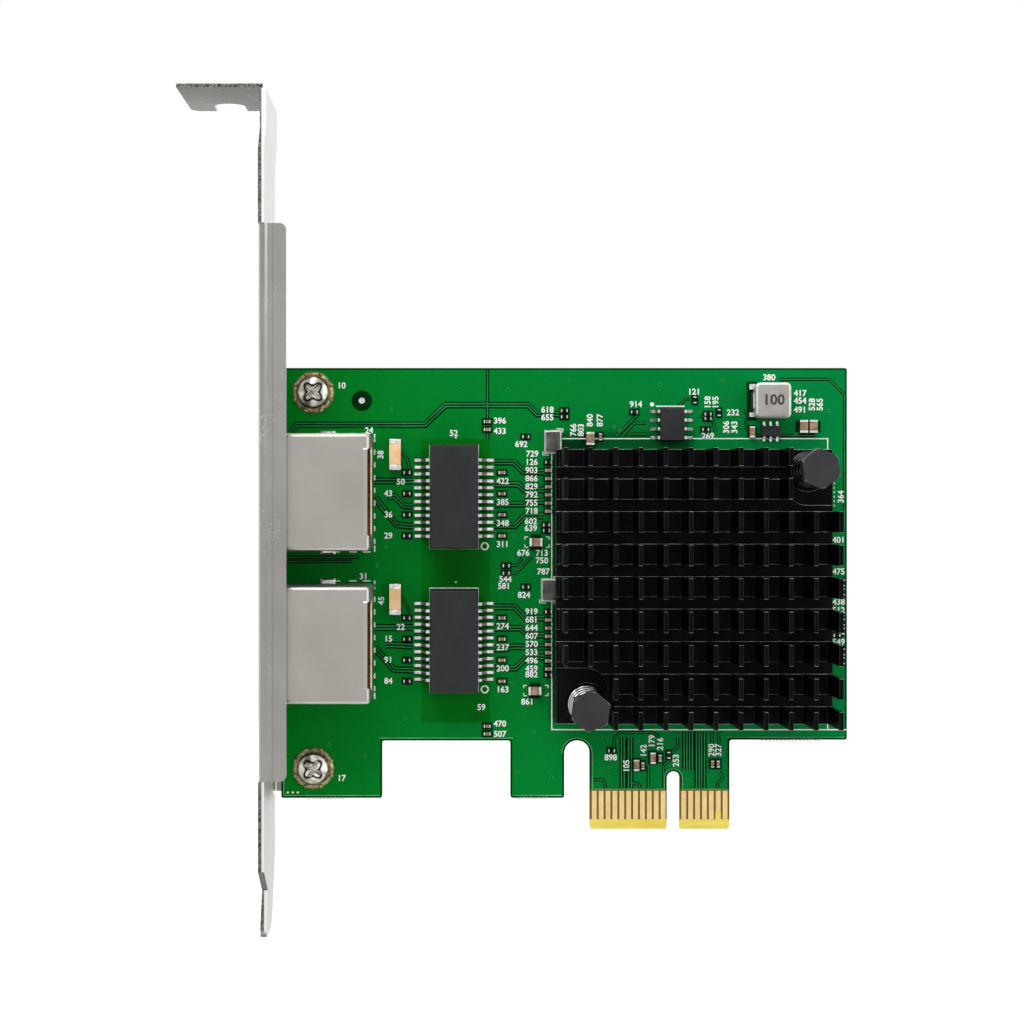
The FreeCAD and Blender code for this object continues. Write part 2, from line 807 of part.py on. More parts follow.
def transformer(centre):
    low = transformer_standoff
    body = moulded_body(transformer_x, centre, transformer_width, transformer_tall, low,
                        transformer_height, transformer_draft)
    leads = side_leads(transformer_x, centre + transformer_lead_offset, transformer_width,
                       transformer_lead_span, transformer_lead_count, transformer_lead_pitch,
                       transformer_lead_width, transformer_lead_height, transformer_lead_metal,
                       transformer_lead_foot)
    return body, Part.makeCompound(leads).cut(body)


def memory_chip():
    body = moulded_body(memory_x, memory_z, memory_width, memory_tall, memory_standoff, memory_height,
                        memory_draft)
    leads = side_leads(memory_x, memory_z, memory_width, memory_lead_span, memory_leads_per_side,
                       memory_lead_pitch, memory_lead_width, memory_lead_height, memory_lead_metal,
                       memory_lead_foot)
    return body, Part.makeCompound(leads).cut(body)


def regulator():
    """Six-lead regulator with its leads above and below the body."""
    body = moulded_body(0, 0, regulator_width, regulator_length, regulator_standoff, regulator_height,
                        regulator_draft)
    leads = side_leads(0, 0, regulator_width, regulator_lead_span, regulator_leads_per_side,
                       regulator_lead_pitch, regulator_lead_width, regulator_lead_height,
                       regulator_lead_metal, regulator_lead_foot)
    leads = Part.makeCompound(leads).cut(body)
    for shape in (body, leads):
        shape.rotate(V(0, 0, 0), V(0, 1, 0), 90)
        shape.translate(V(regulator_x, 0, regulator_z))
    return body, leads


# ---------------------------------------------------------------- controller and heatsink
def controller_balls():
    balls = []
    for column in range(balls_per_side):
        for row in range(balls_per_side):
            x = heatsink_x + (column - (balls_per_side - 1) / 2) * ball_pitch
            z = heatsink_z + (row - (balls_per_side - 1) / 2) * ball_pitch
            balls.append(plate(ring_points(x, z, ball_radius, ball_sides), 0, ball_height))
    return Part.makeCompound(balls)


def fin_left_edges():
    """Left side of every fin, evenly spaced across the base."""
    first = heatsink_left + fin_left_inset
    last = heatsink_right - fin_right_inset - fin_thickness
    pitch = (last - first) / (fin_columns - 1)
    return [first + pitch * k for k in range(fin_columns)]


def row_bands():
    """Bottom and top of every row of pins, from the upper edge down."""
    pitch = row_length + channel_width
    middle_rows = fin_rows - 2
    end_row = (heatsink_top - heatsink_bottom - (fin_rows - 1) * channel_width
               - middle_rows * row_length) / 2
    bands = [(heatsink_top - end_row, heatsink_top)]
    for k in range(middle_rows):
        top = heatsink_top - end_row - channel_width - k * pitch
        bands.append((top - row_length, top))
    bands.append((heatsink_bottom, heatsink_bottom + end_row))
    return bands


def heatsink():
    """Extruded comb of fins, crossed by sawn channels, with two corners milled away."""
    fins = fin_left_edges()
    bands = row_bands()
    profile = [(heatsink_left, base_bottom)]
    profile.append((heatsink_left, base_top))
    for left in fins:
        right = left + fin_thickness
        root_left = max(left - fin_root_widening, heatsink_left)
        root_right = min(right + fin_root_widening, heatsink_right)
        root_top = base_top + fin_root_height
        profile.extend([(root_left, base_top), (left, root_top), (left, fin_top), (right, fin_top),
                        (right, root_top), (root_right, base_top)])
    profile.append((heatsink_right, base_top))
    profile.append((heatsink_right, base_bottom))
    points = []
    for point in profile:
        if not points or abs(point[0] - points[-1][0]) + abs(point[1] - points[-1][1]) > 1e-6:
            points.append(point)
    comb = strip(points, heatsink_bottom, heatsink_top)

    cutters = []
    channel_floor = base_top - channel_depth
    for upper, lower in zip(bands, bands[1:]):
        cutters.append(block(heatsink_left - overrun, heatsink_right + overrun, lower[1], upper[0],
                             channel_floor, fin_top + overrun))
    sides = (("left", fins[pocket_columns] - pocket_margin, bands[-pocket_rows][1] + pocket_overrun),
             ("right", fins[-pocket_columns - 1] + fin_thickness + pocket_margin,
              bands[pocket_rows - 1][0] - pocket_overrun))
    for side, wall, edge in sides:
        if side == "left":
            pocket = block(heatsink_left - overrun, wall, heatsink_bottom - overrun, edge, pocket_floor,
                           fin_top + overrun)
        else:
            pocket = block(wall, heatsink_right + overrun, edge, heatsink_top + overrun, pocket_floor,
                           fin_top + overrun)

        def inner_corner(start, end):
            return along_y(start, end) and abs(start.x - wall) < 1e-6 and abs(start.z - edge) < 1e-6
        cutters.append(rounded(pocket, pocket_corner_radius, inner_corner))
    for x, z in spring_screw_places:
        cutters.append(peg(x, z, spring_screw_hole_radius, base_bottom - overrun, fin_top))
        cutters.append(peg(x, z, spring_screw_counterbore_radius, spring_seat, fin_top + overrun))
    return comb.cut(Part.makeCompound(cutters))


def hexagon_head(x, z, turn):
    """Hex head with its upper corners turned down to a chamfer."""
    radius = hex_head_flats / math.sqrt(3)
    corners = []
    for k in range(6):
        angle = math.radians(60 * k + turn)
        corners.append((x + radius * math.sin(angle), z + radius * math.cos(angle)))
    head = plate(corners, hex_head_seat, hex_head_top)
    top_radius = radius - hex_head_chamfer
    cone = Part.makeCone(top_radius + hex_head_height, top_radius, hex_head_height,
                         V(x, front(hex_head_seat), z), V(0, -1, 0))
    return head.common(cone)


def heatsink_screws():
    screws = []
    for (x, z), turn in zip(spring_screw_places, spring_screw_turns):
        shank = peg(x, z, spring_screw_diameter / 2, -board_thickness - spring_screw_end, hex_head_seat)
        screws.append(hexagon_head(x, z, turn).fuse(shank).removeSplitter())
    return Part.makeCompound(screws)


def coil(x, z):
    """Conical compression spring, as straight lengths of wire from section to section."""
    length = hex_head_seat - spring_seat - spring_wire
    steps = round(spring_turns * spring_steps_per_turn)
    sections = []
    for step in range(steps + 1):
        share = step / steps
        angle = math.radians(spring_start_turn + 360 * spring_turns * share)
        radius = spring_base_radius + (spring_tip_radius - spring_base_radius) * share
        centre = spring_seat + spring_wire / 2 + length * share
        ring = []
        for side in range(spring_wire_sides):
            around = 2 * math.pi * side / spring_wire_sides
            reach = radius + spring_wire / 2 * math.cos(around)
            height = centre + spring_wire / 2 * math.sin(around)
            ring.append(V(x + reach * math.cos(angle), front(height), z + reach * math.sin(angle)))
        sections.append(Part.makePolygon(ring + [ring[0]]))
    return Part.makeLoft(sections, True, True)


def heatsink_springs():
    return Part.makeCompound([coil(x, z) for x, z in spring_screw_places])


def heatsink_nuts():
    nuts = []
    for x, z in spring_screw_places:
        corners = []
        for k in range(6):
            angle = math.radians(60 * k)
            corners.append((x + nut_radius * math.sin(angle), z + nut_radius * math.cos(angle)))
        nut = plate(corners, -board_thickness - nut_height, -board_thickness)
        bore = spring_screw_diameter / 2 + joint_gap
        nuts.append(nut.cut(peg(x, z, bore, -board_thickness - nut_height - overrun, 0)))
    return Part.makeCompound(nuts)


# ---------------------------------------------------------------- other parts on the board
def inductor():
    half = inductor_size / 2
    body = block(inductor_x - half, inductor_x + half, inductor_z - half, inductor_z + half,
                 inductor_standoff, inductor_height)
    body = rounded(body, inductor_corner, along_y)

    def top_edge(start, end):
        at_top = front(inductor_height)
        return abs(start.y - at_top) < 1e-6 and abs(end.y - at_top) < 1e-6
    top_edges = [edge for edge in body.Edges if top_edge(edge.Vertexes[0].Point, edge.Vertexes[-1].Point)]
    body = body.makeChamfer(inductor_edge_chamfer, top_edges)
    terminals = []
    for side in (-1, 1):
        face = inductor_x + side * half
        outer = face + side * inductor_terminal_thickness
        ends = sorted((face - side * inductor_foot_length, outer))
        low = inductor_z - inductor_terminal_width / 2
        high = inductor_z + inductor_terminal_width / 2
        foot = block(ends[0], ends[1], low, high, 0, inductor_standoff)
        rise = sorted((face, outer))
        wall = block(rise[0], rise[1], low, high, 0, inductor_terminal_height)
        terminals.append(foot.fuse(wall).removeSplitter())
    return body, Part.makeCompound(terminals)


def crystal(place):
    x, z = place
    base = centred_block(x, z, crystal_width, crystal_tall, 0, crystal_base_height)
    margin = 2 * crystal_lid_margin
    lid = centred_block(x, z, crystal_width - margin, crystal_tall - margin, crystal_base_height,
                        crystal_base_height + crystal_lid_height)
    lid = rounded(lid, crystal_lid_corner, along_y)
    return base, lid


def chip(x, z, sizes, upright):
    """Body and two end caps of a chip part, lying along X or standing along Z."""
    length, width, height, cap = sizes
    proud = chip_cap_proud
    body = Part.makeBox(length - 2 * cap, height - 2 * proud, width - 2 * proud,
                        V(-length / 2 + cap, front(height - proud), -width / 2 + proud))
    caps = []
    for start in (-length / 2, length / 2 - cap):
        caps.append(Part.makeBox(cap, height, width, V(start, front(height), -width / 2)))
    for shape in [body] + caps:
        if upright:
            shape.rotate(V(0, 0, 0), V(0, 1, 0), 90)
        shape.translate(V(x, 0, z))
    return body, caps


def chip_group(places):
    """Bodies and end caps of a list of (x, z, sizes, upright)."""
    bodies = []
    caps = []
    for x, z, sizes, upright in places:
        body, ends = chip(x, z, sizes, upright)
        bodies.append(body)
        caps.extend(ends)
    return Part.makeCompound(bodies), Part.makeCompound(caps)


def network_places(x):
    """Four parts beside each transformer, at one X."""
    return [(x, first - k * network_pitch, CHIP_SMALL, False)
            for first in network_rows for k in range(network_count)]


def capacitor_places():
    """Ceramic capacitors: (x, z, sizes, upright)."""
    places = network_places(centre_tap_capacitor_x)
    bypass_x = heatsink_left - bypass_to_heatsink
    for first, count in zip(bypass_rows, bypass_counts):
        for k in range(1, count):
            places.append((bypass_x, first - k * bypass_pitch, CHIP_SMALL, False))
    places += [
        (-27.05, 59.2, CHIP_SMALL, False), (-27.05, 58.05, CHIP_SMALL, False),
        (-27.05, 15.0, CHIP_SMALL, False), (-27.05, 13.9, CHIP_SMALL, False),
        (-19.98, 41.7, CHIP_LARGE, False), (-20.14, 20.15, CHIP_LARGE, False),
        (-12.1, 56.75, CHIP_LARGE, True), (-10.6, 57.0, CHIP_SMALL, True),
        (11.4, 57.7, CHIP_MEDIUM, True), (18.85, 58.5, CHIP_LARGE, True), (20.25, 58.5, CHIP_LARGE, True),
        (-5.4, 9.35, CHIP_MEDIUM, True), (-4.45, 9.25, CHIP_SMALL, True),
        (-3.0, 10.4, CHIP_MEDIUM, True), (-1.95, 10.35, CHIP_SMALL, True),
        (5.65, 9.5, CHIP_SMALL, True), (6.5, 9.5, CHIP_SMALL, True)]
    return places


def resistor_places():
    """Chip resistors: (x, z, sizes, upright)."""
    places = network_places(series_resistor_x)
    bypass_x = heatsink_left - bypass_to_heatsink
    for first in bypass_rows:
        places.append((bypass_x, first, CHIP_SMALL, False))
    places += [
        (bypass_x, 22.45, CHIP_SMALL, False),
        (-18.45, 44.2, CHIP_SMALL, False), (-18.45, 43.4, CHIP_SMALL, False),
        (-21.45, 57.0, CHIP_SMALL, False), (-21.45, 35.2, CHIP_SMALL, False),
        (-24.3, 38.3, CHIP_SMALL, False), (-24.3, 37.2, CHIP_SMALL, False),
        (-15.85, 60.8, CHIP_SMALL, False), (-15.85, 59.9, CHIP_SMALL, False),
        (-5.7, 60.6, CHIP_SMALL, False), (3.1, 62.35, CHIP_SMALL, True),
        (5.0, 60.3, CHIP_SMALL, False), (5.0, 59.65, CHIP_SMALL, False),
        (6.6, 60.5, CHIP_SMALL, True), (4.65, 58.05, CHIP_SMALL, False),
        (-9.0, 11.45, CHIP_SMALL, False), (-0.7, 10.8, CHIP_SMALL, True),
        (23.7, 28.2, CHIP_SMALL, False)]
    for z in edge_resistor_z:
        places.append((board_right - edge_resistor_inset, z, CHIP_SMALL, True))
    return places


# ---------------------------------------------------------------- write the parts
def main():
    os.makedirs("parts", exist_ok=True)
    export("circuit_board", circuit_board())
    export("edge_contacts", edge_contacts())
    export("mounting_bracket", bracket())
    export("bracket_screws", bracket_screws())
    for name, centre in zip(jack_names, jack_centres):
        export("jack_" + name + "_shield", jack_shield(centre))
        export("jack_" + name + "_housing", jack_housing(centre))
        export("jack_" + name + "_contacts", jack_contacts(centre))
        export("jack_" + name + "_light_windows", jack_windows(centre))
    for name, centre in zip(jack_names, transformer_centres):
        body, leads = transformer(centre)
        export("transformer_" + name + "_body", body)
        export("transformer_" + name + "_leads", leads)
    chip_bottom = ball_height
    pad_bottom = chip_bottom + controller_thickness
    export("controller_solder_balls", controller_balls())
    export("controller_chip", centred_block(heatsink_x, heatsink_z, controller_size, controller_size,
                                            chip_bottom, pad_bottom))
    export("thermal_pad", centred_block(heatsink_x, heatsink_z, pad_size, pad_size, pad_bottom, base_bottom))
    export("heatsink", heatsink())
    export("heatsink_screws", heatsink_screws())
    export("heatsink_springs", heatsink_springs())
    export("heatsink_nuts", heatsink_nuts())
    body, leads = memory_chip()
    export("memory_chip_body", body)
    export("memory_chip_leads", leads)
    body, leads = regulator()
    export("regulator_body", body)
    export("regulator_leads", leads)
    body, terminals = inductor()
    export("inductor_body", body)
    export("inductor_terminals", terminals)
    for name, place in zip(jack_names, crystal_places):
        base, lid = crystal(place)
        export("crystal_" + name + "_base", base)
        export("crystal_" + name + "_lid", lid)
    sizes = (isolation_capacitor_length, isolation_capacitor_width, isolation_capacitor_height,
             isolation_capacitor_end)
    bodies, caps = chip_group([(isolation_capacitor_x, z, sizes, True) for z in isolation_capacitor_z])
    export("isolation_capacitor_bodies", bodies)
    export("isolation_capacitor_ends", caps)
    bodies, caps = chip_group(capacitor_places())
    export("chip_capacitor_bodies", bodies)
    export("chip_capacitor_ends", caps)
    bodies, caps = chip_group(resistor_places())
    export("chip_resistor_bodies", bodies)
    export("chip_resistor_ends", caps)


main()
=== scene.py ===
import math

import bmesh
import bpy
from mathutils import Matrix, Vector


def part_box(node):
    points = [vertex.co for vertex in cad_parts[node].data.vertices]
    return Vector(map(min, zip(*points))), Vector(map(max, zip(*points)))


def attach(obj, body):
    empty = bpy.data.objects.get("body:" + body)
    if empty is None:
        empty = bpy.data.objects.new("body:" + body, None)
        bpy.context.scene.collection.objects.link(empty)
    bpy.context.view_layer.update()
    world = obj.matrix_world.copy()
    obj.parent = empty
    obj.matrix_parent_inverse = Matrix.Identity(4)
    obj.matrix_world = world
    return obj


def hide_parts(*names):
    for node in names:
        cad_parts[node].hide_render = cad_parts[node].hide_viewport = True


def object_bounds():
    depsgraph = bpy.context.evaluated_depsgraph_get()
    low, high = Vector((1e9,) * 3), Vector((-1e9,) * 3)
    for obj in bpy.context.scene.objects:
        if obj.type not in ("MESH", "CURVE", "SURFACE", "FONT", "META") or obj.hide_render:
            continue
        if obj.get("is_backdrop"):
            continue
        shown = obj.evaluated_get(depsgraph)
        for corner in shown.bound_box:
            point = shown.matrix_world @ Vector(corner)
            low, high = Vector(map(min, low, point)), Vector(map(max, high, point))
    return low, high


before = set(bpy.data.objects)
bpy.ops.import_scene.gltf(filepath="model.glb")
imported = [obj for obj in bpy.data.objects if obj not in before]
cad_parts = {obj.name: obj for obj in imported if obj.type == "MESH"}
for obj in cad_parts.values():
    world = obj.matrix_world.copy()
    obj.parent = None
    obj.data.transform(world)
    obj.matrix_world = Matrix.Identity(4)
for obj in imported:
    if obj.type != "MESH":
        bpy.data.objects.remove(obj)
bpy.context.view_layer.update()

# Looks of the network interface card.  Artwork on the board is laid out in millimetres, as (x, z) on the
# component face, with x along the board and z up from the contact edge; everything built is in metres.
MM = 0.001
board_low, board_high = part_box("circuit_board")
FACE = board_low.y
BACK = board_high.y
BOARD_LEFT = board_low.x / MM
BOARD_RIGHT = board_high.x / MM
BOARD_TOP = board_high.z / MM
BOTH = ("lower", "upper")

# Thickness of what lies on the board, in millimetres.
clearance_height = 0.012
copper_height = 0.03
print_height = 0.045
pad_height = 0.05


def box_mm(node):
    """Lowest and highest corner of a node, in millimetres."""
    low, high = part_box(node)
    return low / MM, high / MM


def centre(low, high):
    return (low + high) / 2


# ---------------------------------------------------------------- node helpers
FLOAT = "NodeSocketFloat"
VECTOR = "NodeSocketVector"
GEOMETRY = "NodeSocketGeometry"
MATERIAL = "NodeSocketMaterial"
EVEN = (1.0, 1.0, 1.0)


def colour(red, green, blue):
    """Linear colour of an sRGB one written from 0 to 255."""
    def linear(value):
        share = value / 255
        return share / 12.92 if share <= 0.04045 else ((share + 0.055) / 1.055) ** 2.4
    return (linear(red), linear(green), linear(blue), 1.0)


class Nodes:
    """Adds linked nodes to one tree."""

    def __init__(self, tree):
        self.tree = tree

    def add(self, kind, inputs=None, **settings):
        """New node, with its settings and with its inputs linked or set."""
        node = self.tree.nodes.new(kind)
        for key, value in settings.items():
            setattr(node, key, value)
        for key, value in (inputs or {}).items():
            if isinstance(value, bpy.types.NodeSocket):
                self.tree.links.new(value, node.inputs[key])
            else:
                node.inputs[key].default_value = value
        return node

    def maths(self, operation, first, second=0.0):
        return self.add("ShaderNodeMath", {0: first, 1: second}, operation=operation).outputs[0]

    def times(self, first, second):
        return self.maths("MULTIPLY", first, second)

    def split(self, vector):
        return self.add("ShaderNodeSeparateXYZ", {0: vector}).outputs

    def ramp(self, value, first, last, start=0.0, end=1.0, **settings):
        """From start to end while the value goes from first to last."""
        return self.add("ShaderNodeMapRange", {
            "Value": value, "From Min": first, "From Max": last, "To Min": start, "To Max": end},
            **settings).outputs[0]

    def noise(self, vector, size, **inputs):
        """Noise at a size in millimetres."""
        inputs.update(Vector=vector, Scale=self.maths("DIVIDE", 1.0 / MM, size))
        return self.add("ShaderNodeTexNoise", inputs).outputs["Fac"]


class Group(Nodes):
    """Node group.  An input is given as its value, or as its socket type where it has none."""

    def __init__(self, name, inputs, outputs, output_type=FLOAT, kind="ShaderNodeTree"):
        super().__init__(bpy.data.node_groups.new(name, kind))
        for label, value in inputs.items():
            socket_type = FLOAT if isinstance(value, float) else VECTOR
            if isinstance(value, str):
                socket_type = value
            socket = self.tree.interface.new_socket(label, in_out="INPUT", socket_type=socket_type)
            if value is not socket_type:
                socket.default_value = value
        for label in outputs:
            self.tree.interface.new_socket(label, in_out="OUTPUT", socket_type=output_type)
        self.start = self.tree.nodes.new("NodeGroupInput")
        self.end = self.tree.nodes.new("NodeGroupOutput")

    def given(self, label):
        return self.start.outputs[label]

    def give(self, label, value):
        self.tree.links.new(value, self.end.inputs[label])


# ---------------------------------------------------------------- shared shader groups
def build_cloud():
    """Soft uneven patches between 0 and 1, about 0.5."""
    group = Group("cloud", {"Vector": VECTOR, "Size": 10.0}, ["Value"])
    group.give("Value", group.noise(group.given("Vector"), group.given("Size"), Detail=3.0))
    return group.tree


def build_streaks():
    """Fine grain.  Stretch multiplies the coordinates, so a small value draws it out along that axis."""
    group = Group("streaks", {"Vector": VECTOR, "Size": 0.3, "Stretch": EVEN}, ["Value"])
    drawn = group.add("ShaderNodeVectorMath", {0: group.given("Vector"), 1: group.given("Stretch")},
                      operation="MULTIPLY")
    group.give("Value", group.noise(drawn.outputs[0], group.given("Size"), Detail=2.0))
    return group.tree


def build_field():
    """Soft-edged rectangle on the board: 1 inside, 0 outside.  Sizes are in millimetres."""
    group = Group("field", {"Vector": VECTOR, "Left": 0.0, "Right": 1.0, "Bottom": 0.0, "Top": 1.0,
                            "Softness": 0.2}, ["Mask"])
    parts = group.split(group.given("Vector"))
    soft = group.given("Softness")
    mask = 1.0
    for axis, edge, sign in (("X", "Left", 1.0), ("X", "Right", -1.0), ("Z", "Bottom", 1.0),
                             ("Z", "Top", -1.0)):
        beyond = group.maths("SUBTRACT", group.times(parts[axis], 1.0 / MM), group.given(edge))
        inside = group.ramp(group.times(beyond, sign), group.times(soft, -1.0), soft,
                            interpolation_type="SMOOTHSTEP")
        mask = group.times(mask, inside)
    group.give("Mask", mask)
    return group.tree


def build_scuffs():
    """Sparse short scratches: Amount on a scratch, 0 elsewhere."""
    group = Group("scuffs", {"Vector": VECTOR, "Size": 6.0, "Amount": 0.3}, ["Mask"])
    vector = group.given("Vector")
    size = group.given("Size")
    patch = group.ramp(group.noise(vector, size), 0.52, 0.7)
    lines = group.noise(vector, group.times(size, 0.2), Detail=4.0, Distortion=1.5)
    ridge = group.maths("ABSOLUTE", group.maths("SUBTRACT", lines, 0.5))
    thin = group.ramp(ridge, 0.0, 0.012, 1.0, 0.0)
    group.give("Mask", group.times(group.times(thin, patch), group.given("Amount")))
    return group.tree


def build_facing():
    """Which way the surface looks: Edge on broken edges, Side off the board's plane, Under downwards,
    Along to the left or the right."""
    group = Group("facing", {"Normal": VECTOR}, ["Edge", "Side", "Under", "Along"])
    parts = group.split(group.given("Normal"))
    across, facing, up = [group.maths("ABSOLUTE", parts[axis]) for axis in "XYZ"]
    squarest = group.maths("MAXIMUM", group.maths("MAXIMUM", across, facing), up)
    for value, label, first, last in ((squarest, "Edge", 0.97, 0.88), (facing, "Side", 0.92, 0.7),
                                      (parts["Z"], "Under", -0.6, -0.85), (across, "Along", 0.6, 0.85)):
        group.give(label, group.ramp(value, first, last))
    return group.tree


CLOUD = build_cloud()
STREAKS = build_streaks()
FIELD = build_field()
SCUFFS = build_scuffs()
FACING = build_facing()


class Finish(Nodes):
    """Material with one Principled shader, patterned on Object coordinates."""

    def __init__(self, name, metallic=0.0, specular=0.5, coat=0.0):
        self.material = bpy.data.materials.new(name)
        self.material.use_nodes = True
        super().__init__(self.material.node_tree)
        self.tree.nodes.clear()
        self.shader = self.add("ShaderNodeBsdfPrincipled", {
            "Metallic": metallic, "Specular IOR Level": specular, "Coat Weight": coat})
        self.add("ShaderNodeOutputMaterial", {"Surface": self.shader.outputs[0]})
        self.place = self.add("ShaderNodeTexCoord").outputs["Object"]

    def effect(self, group, **inputs):
        """Outputs of a shared group."""
        return self.add("ShaderNodeGroup", inputs, node_tree=group).outputs

    def cloud(self, size):
        return self.effect(CLOUD, Vector=self.place, Size=size)[0]

    def streaks(self, size, stretch=EVEN):
        return self.effect(STREAKS, Vector=self.place, Size=size, Stretch=stretch)[0]

    def field(self, left, right, bottom, top, softness=0.15):
        return self.effect(FIELD, Vector=self.place, Left=left, Right=right, Bottom=bottom, Top=top,
                           Softness=softness)[0]

    def scuffs(self, size, amount):
        return self.effect(SCUFFS, Vector=self.place, Size=size, Amount=amount)[0]

    def normal(self):
        """True normal, which smoothing leaves alone."""
        return self.add("ShaderNodeNewGeometry").outputs["True Normal"]

    def ways(self):
        return self.effect(FACING, Normal=self.normal())

    def axis(self, name):
        return self.split(self.place)[name]

    def most(self, first, second):
        return self.maths("MAXIMUM", first, second)

    def spread(self, noise, low=0.0, high=1.0):
        """The 0.3 to 0.7 of a noise spread from low to high."""
        return self.ramp(noise, 0.3, 0.7, low, high)

    def mix(self, factor, first, second):
        """Colour between two, each a socket, a linear colour, or red, green and blue from 0 to 255."""
        first, second = [colour(*tone) if isinstance(tone, tuple) and len(tone) == 3 else tone
                         for tone in (first, second)]
        return self.add("ShaderNodeMix", {0: factor, 6: first, 7: second}, data_type="RGBA").outputs[2]

    def mottled(self, noise, first, second):
        return self.mix(self.spread(noise), first, second)

    def set(self, label, value):
        self.tree.links.new(value, self.shader.inputs[label])

    def done(self, tone, roughness, relief=None, depth=0.0):
        """The finished material; depth is that of its relief, in millimetres."""
        self.set("Base Color", tone)
        self.set("Roughness", roughness)
        if depth:
            bump = self.add("ShaderNodeBump", {"Height": relief, "Distance": depth * MM, "Strength": 1.0})
            self.set("Normal", bump.outputs[0])
        return self.material


# ---------------------------------------------------------------- finishes
# Where the board has no copper plane: left, right, bottom and top.
PLANE_GAP = (-36.6, -26.65, 15.5, 56.75)
# Painted shade along the heatsink's left and top edges: left, right, bottom, top and softness, and how much.
HEATSINK_EDGE_SHADE = [((-17.9, -12.0, 15.6, 56.6, 0.7), 0.85), ((-16.5, 3.0, 55.0, 57.7, 0.8), 0.6)]
# Left and right end of the contact edge, how high its bevel reaches, and where the mask begins.
CONTACT_EDGE = (-14.0, 10.0)
BEVEL_TOP = 1.45
MASK_BEGINS = 5.66


def solder_mask():
    """Glossy green mask: bright over the copper plane, dark where there is none, with painted shade along
    the heatsink's left and top edges, laminate at the edges.
    """
    mask = Finish("solder_mask", specular=0.03)
    along = mask.ramp(mask.axis("X"), BOARD_LEFT * MM, BOARD_RIGHT * MM)
    patches = mask.cloud(9.0)
    over_plane = mask.mix(along, (1, 122, 29), (2, 132, 64))
    over_plane = mask.mix(mask.spread(patches, 0.0, 0.14), over_plane, (0, 104, 26))
    bare = mask.mottled(patches, (0, 100, 16), (2, 116, 24))
    tone = mask.mix(mask.field(*PLANE_GAP), over_plane, bare)
    # Painted shade beside the heatsink; the fields read only x and z, so it falls on both faces of the
    # board.
    for place, amount in HEATSINK_EDGE_SHADE:
        tone = mask.mix(mask.times(mask.field(*place), amount), tone, (2, 44, 20))
    weave = mask.streaks(0.5)
    tone = mask.mix(mask.spread(weave, 0.0, 0.08), tone, (0, 60, 12))
    edge = mask.ramp(mask.maths("ABSOLUTE", mask.split(mask.normal())["Y"]), 0.85, 0.5)
    layers = mask.streaks(0.25, (0.05, 1.0, 0.05))
    laminate = mask.mottled(layers, (120, 140, 78), (176, 186, 120))
    below_short_pad = mask.field(6.1, 6.9, 1.0, 2.52, 0.04)
    bevel = mask.most(mask.field(*CONTACT_EDGE, -1.0, BEVEL_TOP, 0.05), below_short_pad)
    bevel_tone = mask.mottled(layers, (232, 206, 84), (246, 224, 116))
    between_pads = mask.field(*CONTACT_EDGE, BEVEL_TOP, MASK_BEGINS, 0.06)
    tone = mask.mix(mask.times(between_pads, 0.9), tone, (128, 94, 34))
    tone = mask.mix(edge, tone, laminate)
    tone = mask.mix(bevel, tone, bevel_tone)
    roughness = mask.maths("ADD", mask.spread(patches, 0.24, 0.36), mask.times(edge, 0.4))
    return mask.done(tone, roughness, weave, 0.006)


def anodised():
    """Black anodised aluminium: near black, with painted shade on the faces off the board's plane and on the
    fin tops, and bare metal where the saw broke the edges, painted up to a near-white highlight.
    """
    fins = Finish("black_anodising", specular=0.035)
    patches = fins.cloud(3.0)
    ways = fins.ways()
    # Painted shade: faces off the board's plane are painted darker.
    tone = fins.mix(ways["Side"], fins.mottled(patches, (8, 8, 10), (20, 20, 23)), (3, 3, 4))
    fin_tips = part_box("heatsink")[0].y
    # Painted shade on the fin tops, darker than the base between them, to hold back the light that falls on
    # them.
    tops = fins.ramp(fins.axis("Y"), fin_tips + 0.3 * MM, fin_tips + 0.1 * MM)
    tone = fins.mix(tops, tone, fins.mottled(patches, (5, 5, 6), (15, 15, 17)))
    # Bare metal on the broken edges, painted up to near white as a highlight; edges facing left or right get
    # less of it, as the light falls from above.
    wear = fins.spread(fins.cloud(1.4), 0.35, 1.0)
    sideways = fins.maths("ABSOLUTE", fins.split(fins.normal())["X"])
    level = fins.ramp(sideways, 0.45, 0.2, 0.1)
    bare_edge_highlight = fins.times(fins.times(ways["Edge"], wear), level)
    tone = fins.mix(bare_edge_highlight, tone, (250, 250, 252))
    fine = fins.streaks(0.16, (0.04, 1.0, 1.0))
    return fins.done(tone, fins.spread(fine, 0.3, 0.45), fine, 0.006)


# The bracket, in millimetres: how far in from its left end the blade stands, where the flange begins and
# ends, and the underside and top of the screw tab's sheet.
BLADE_IN = 11.35
FLANGE = (8.6, 86.3)
TAB_SHEET = (104.9, 105.55)


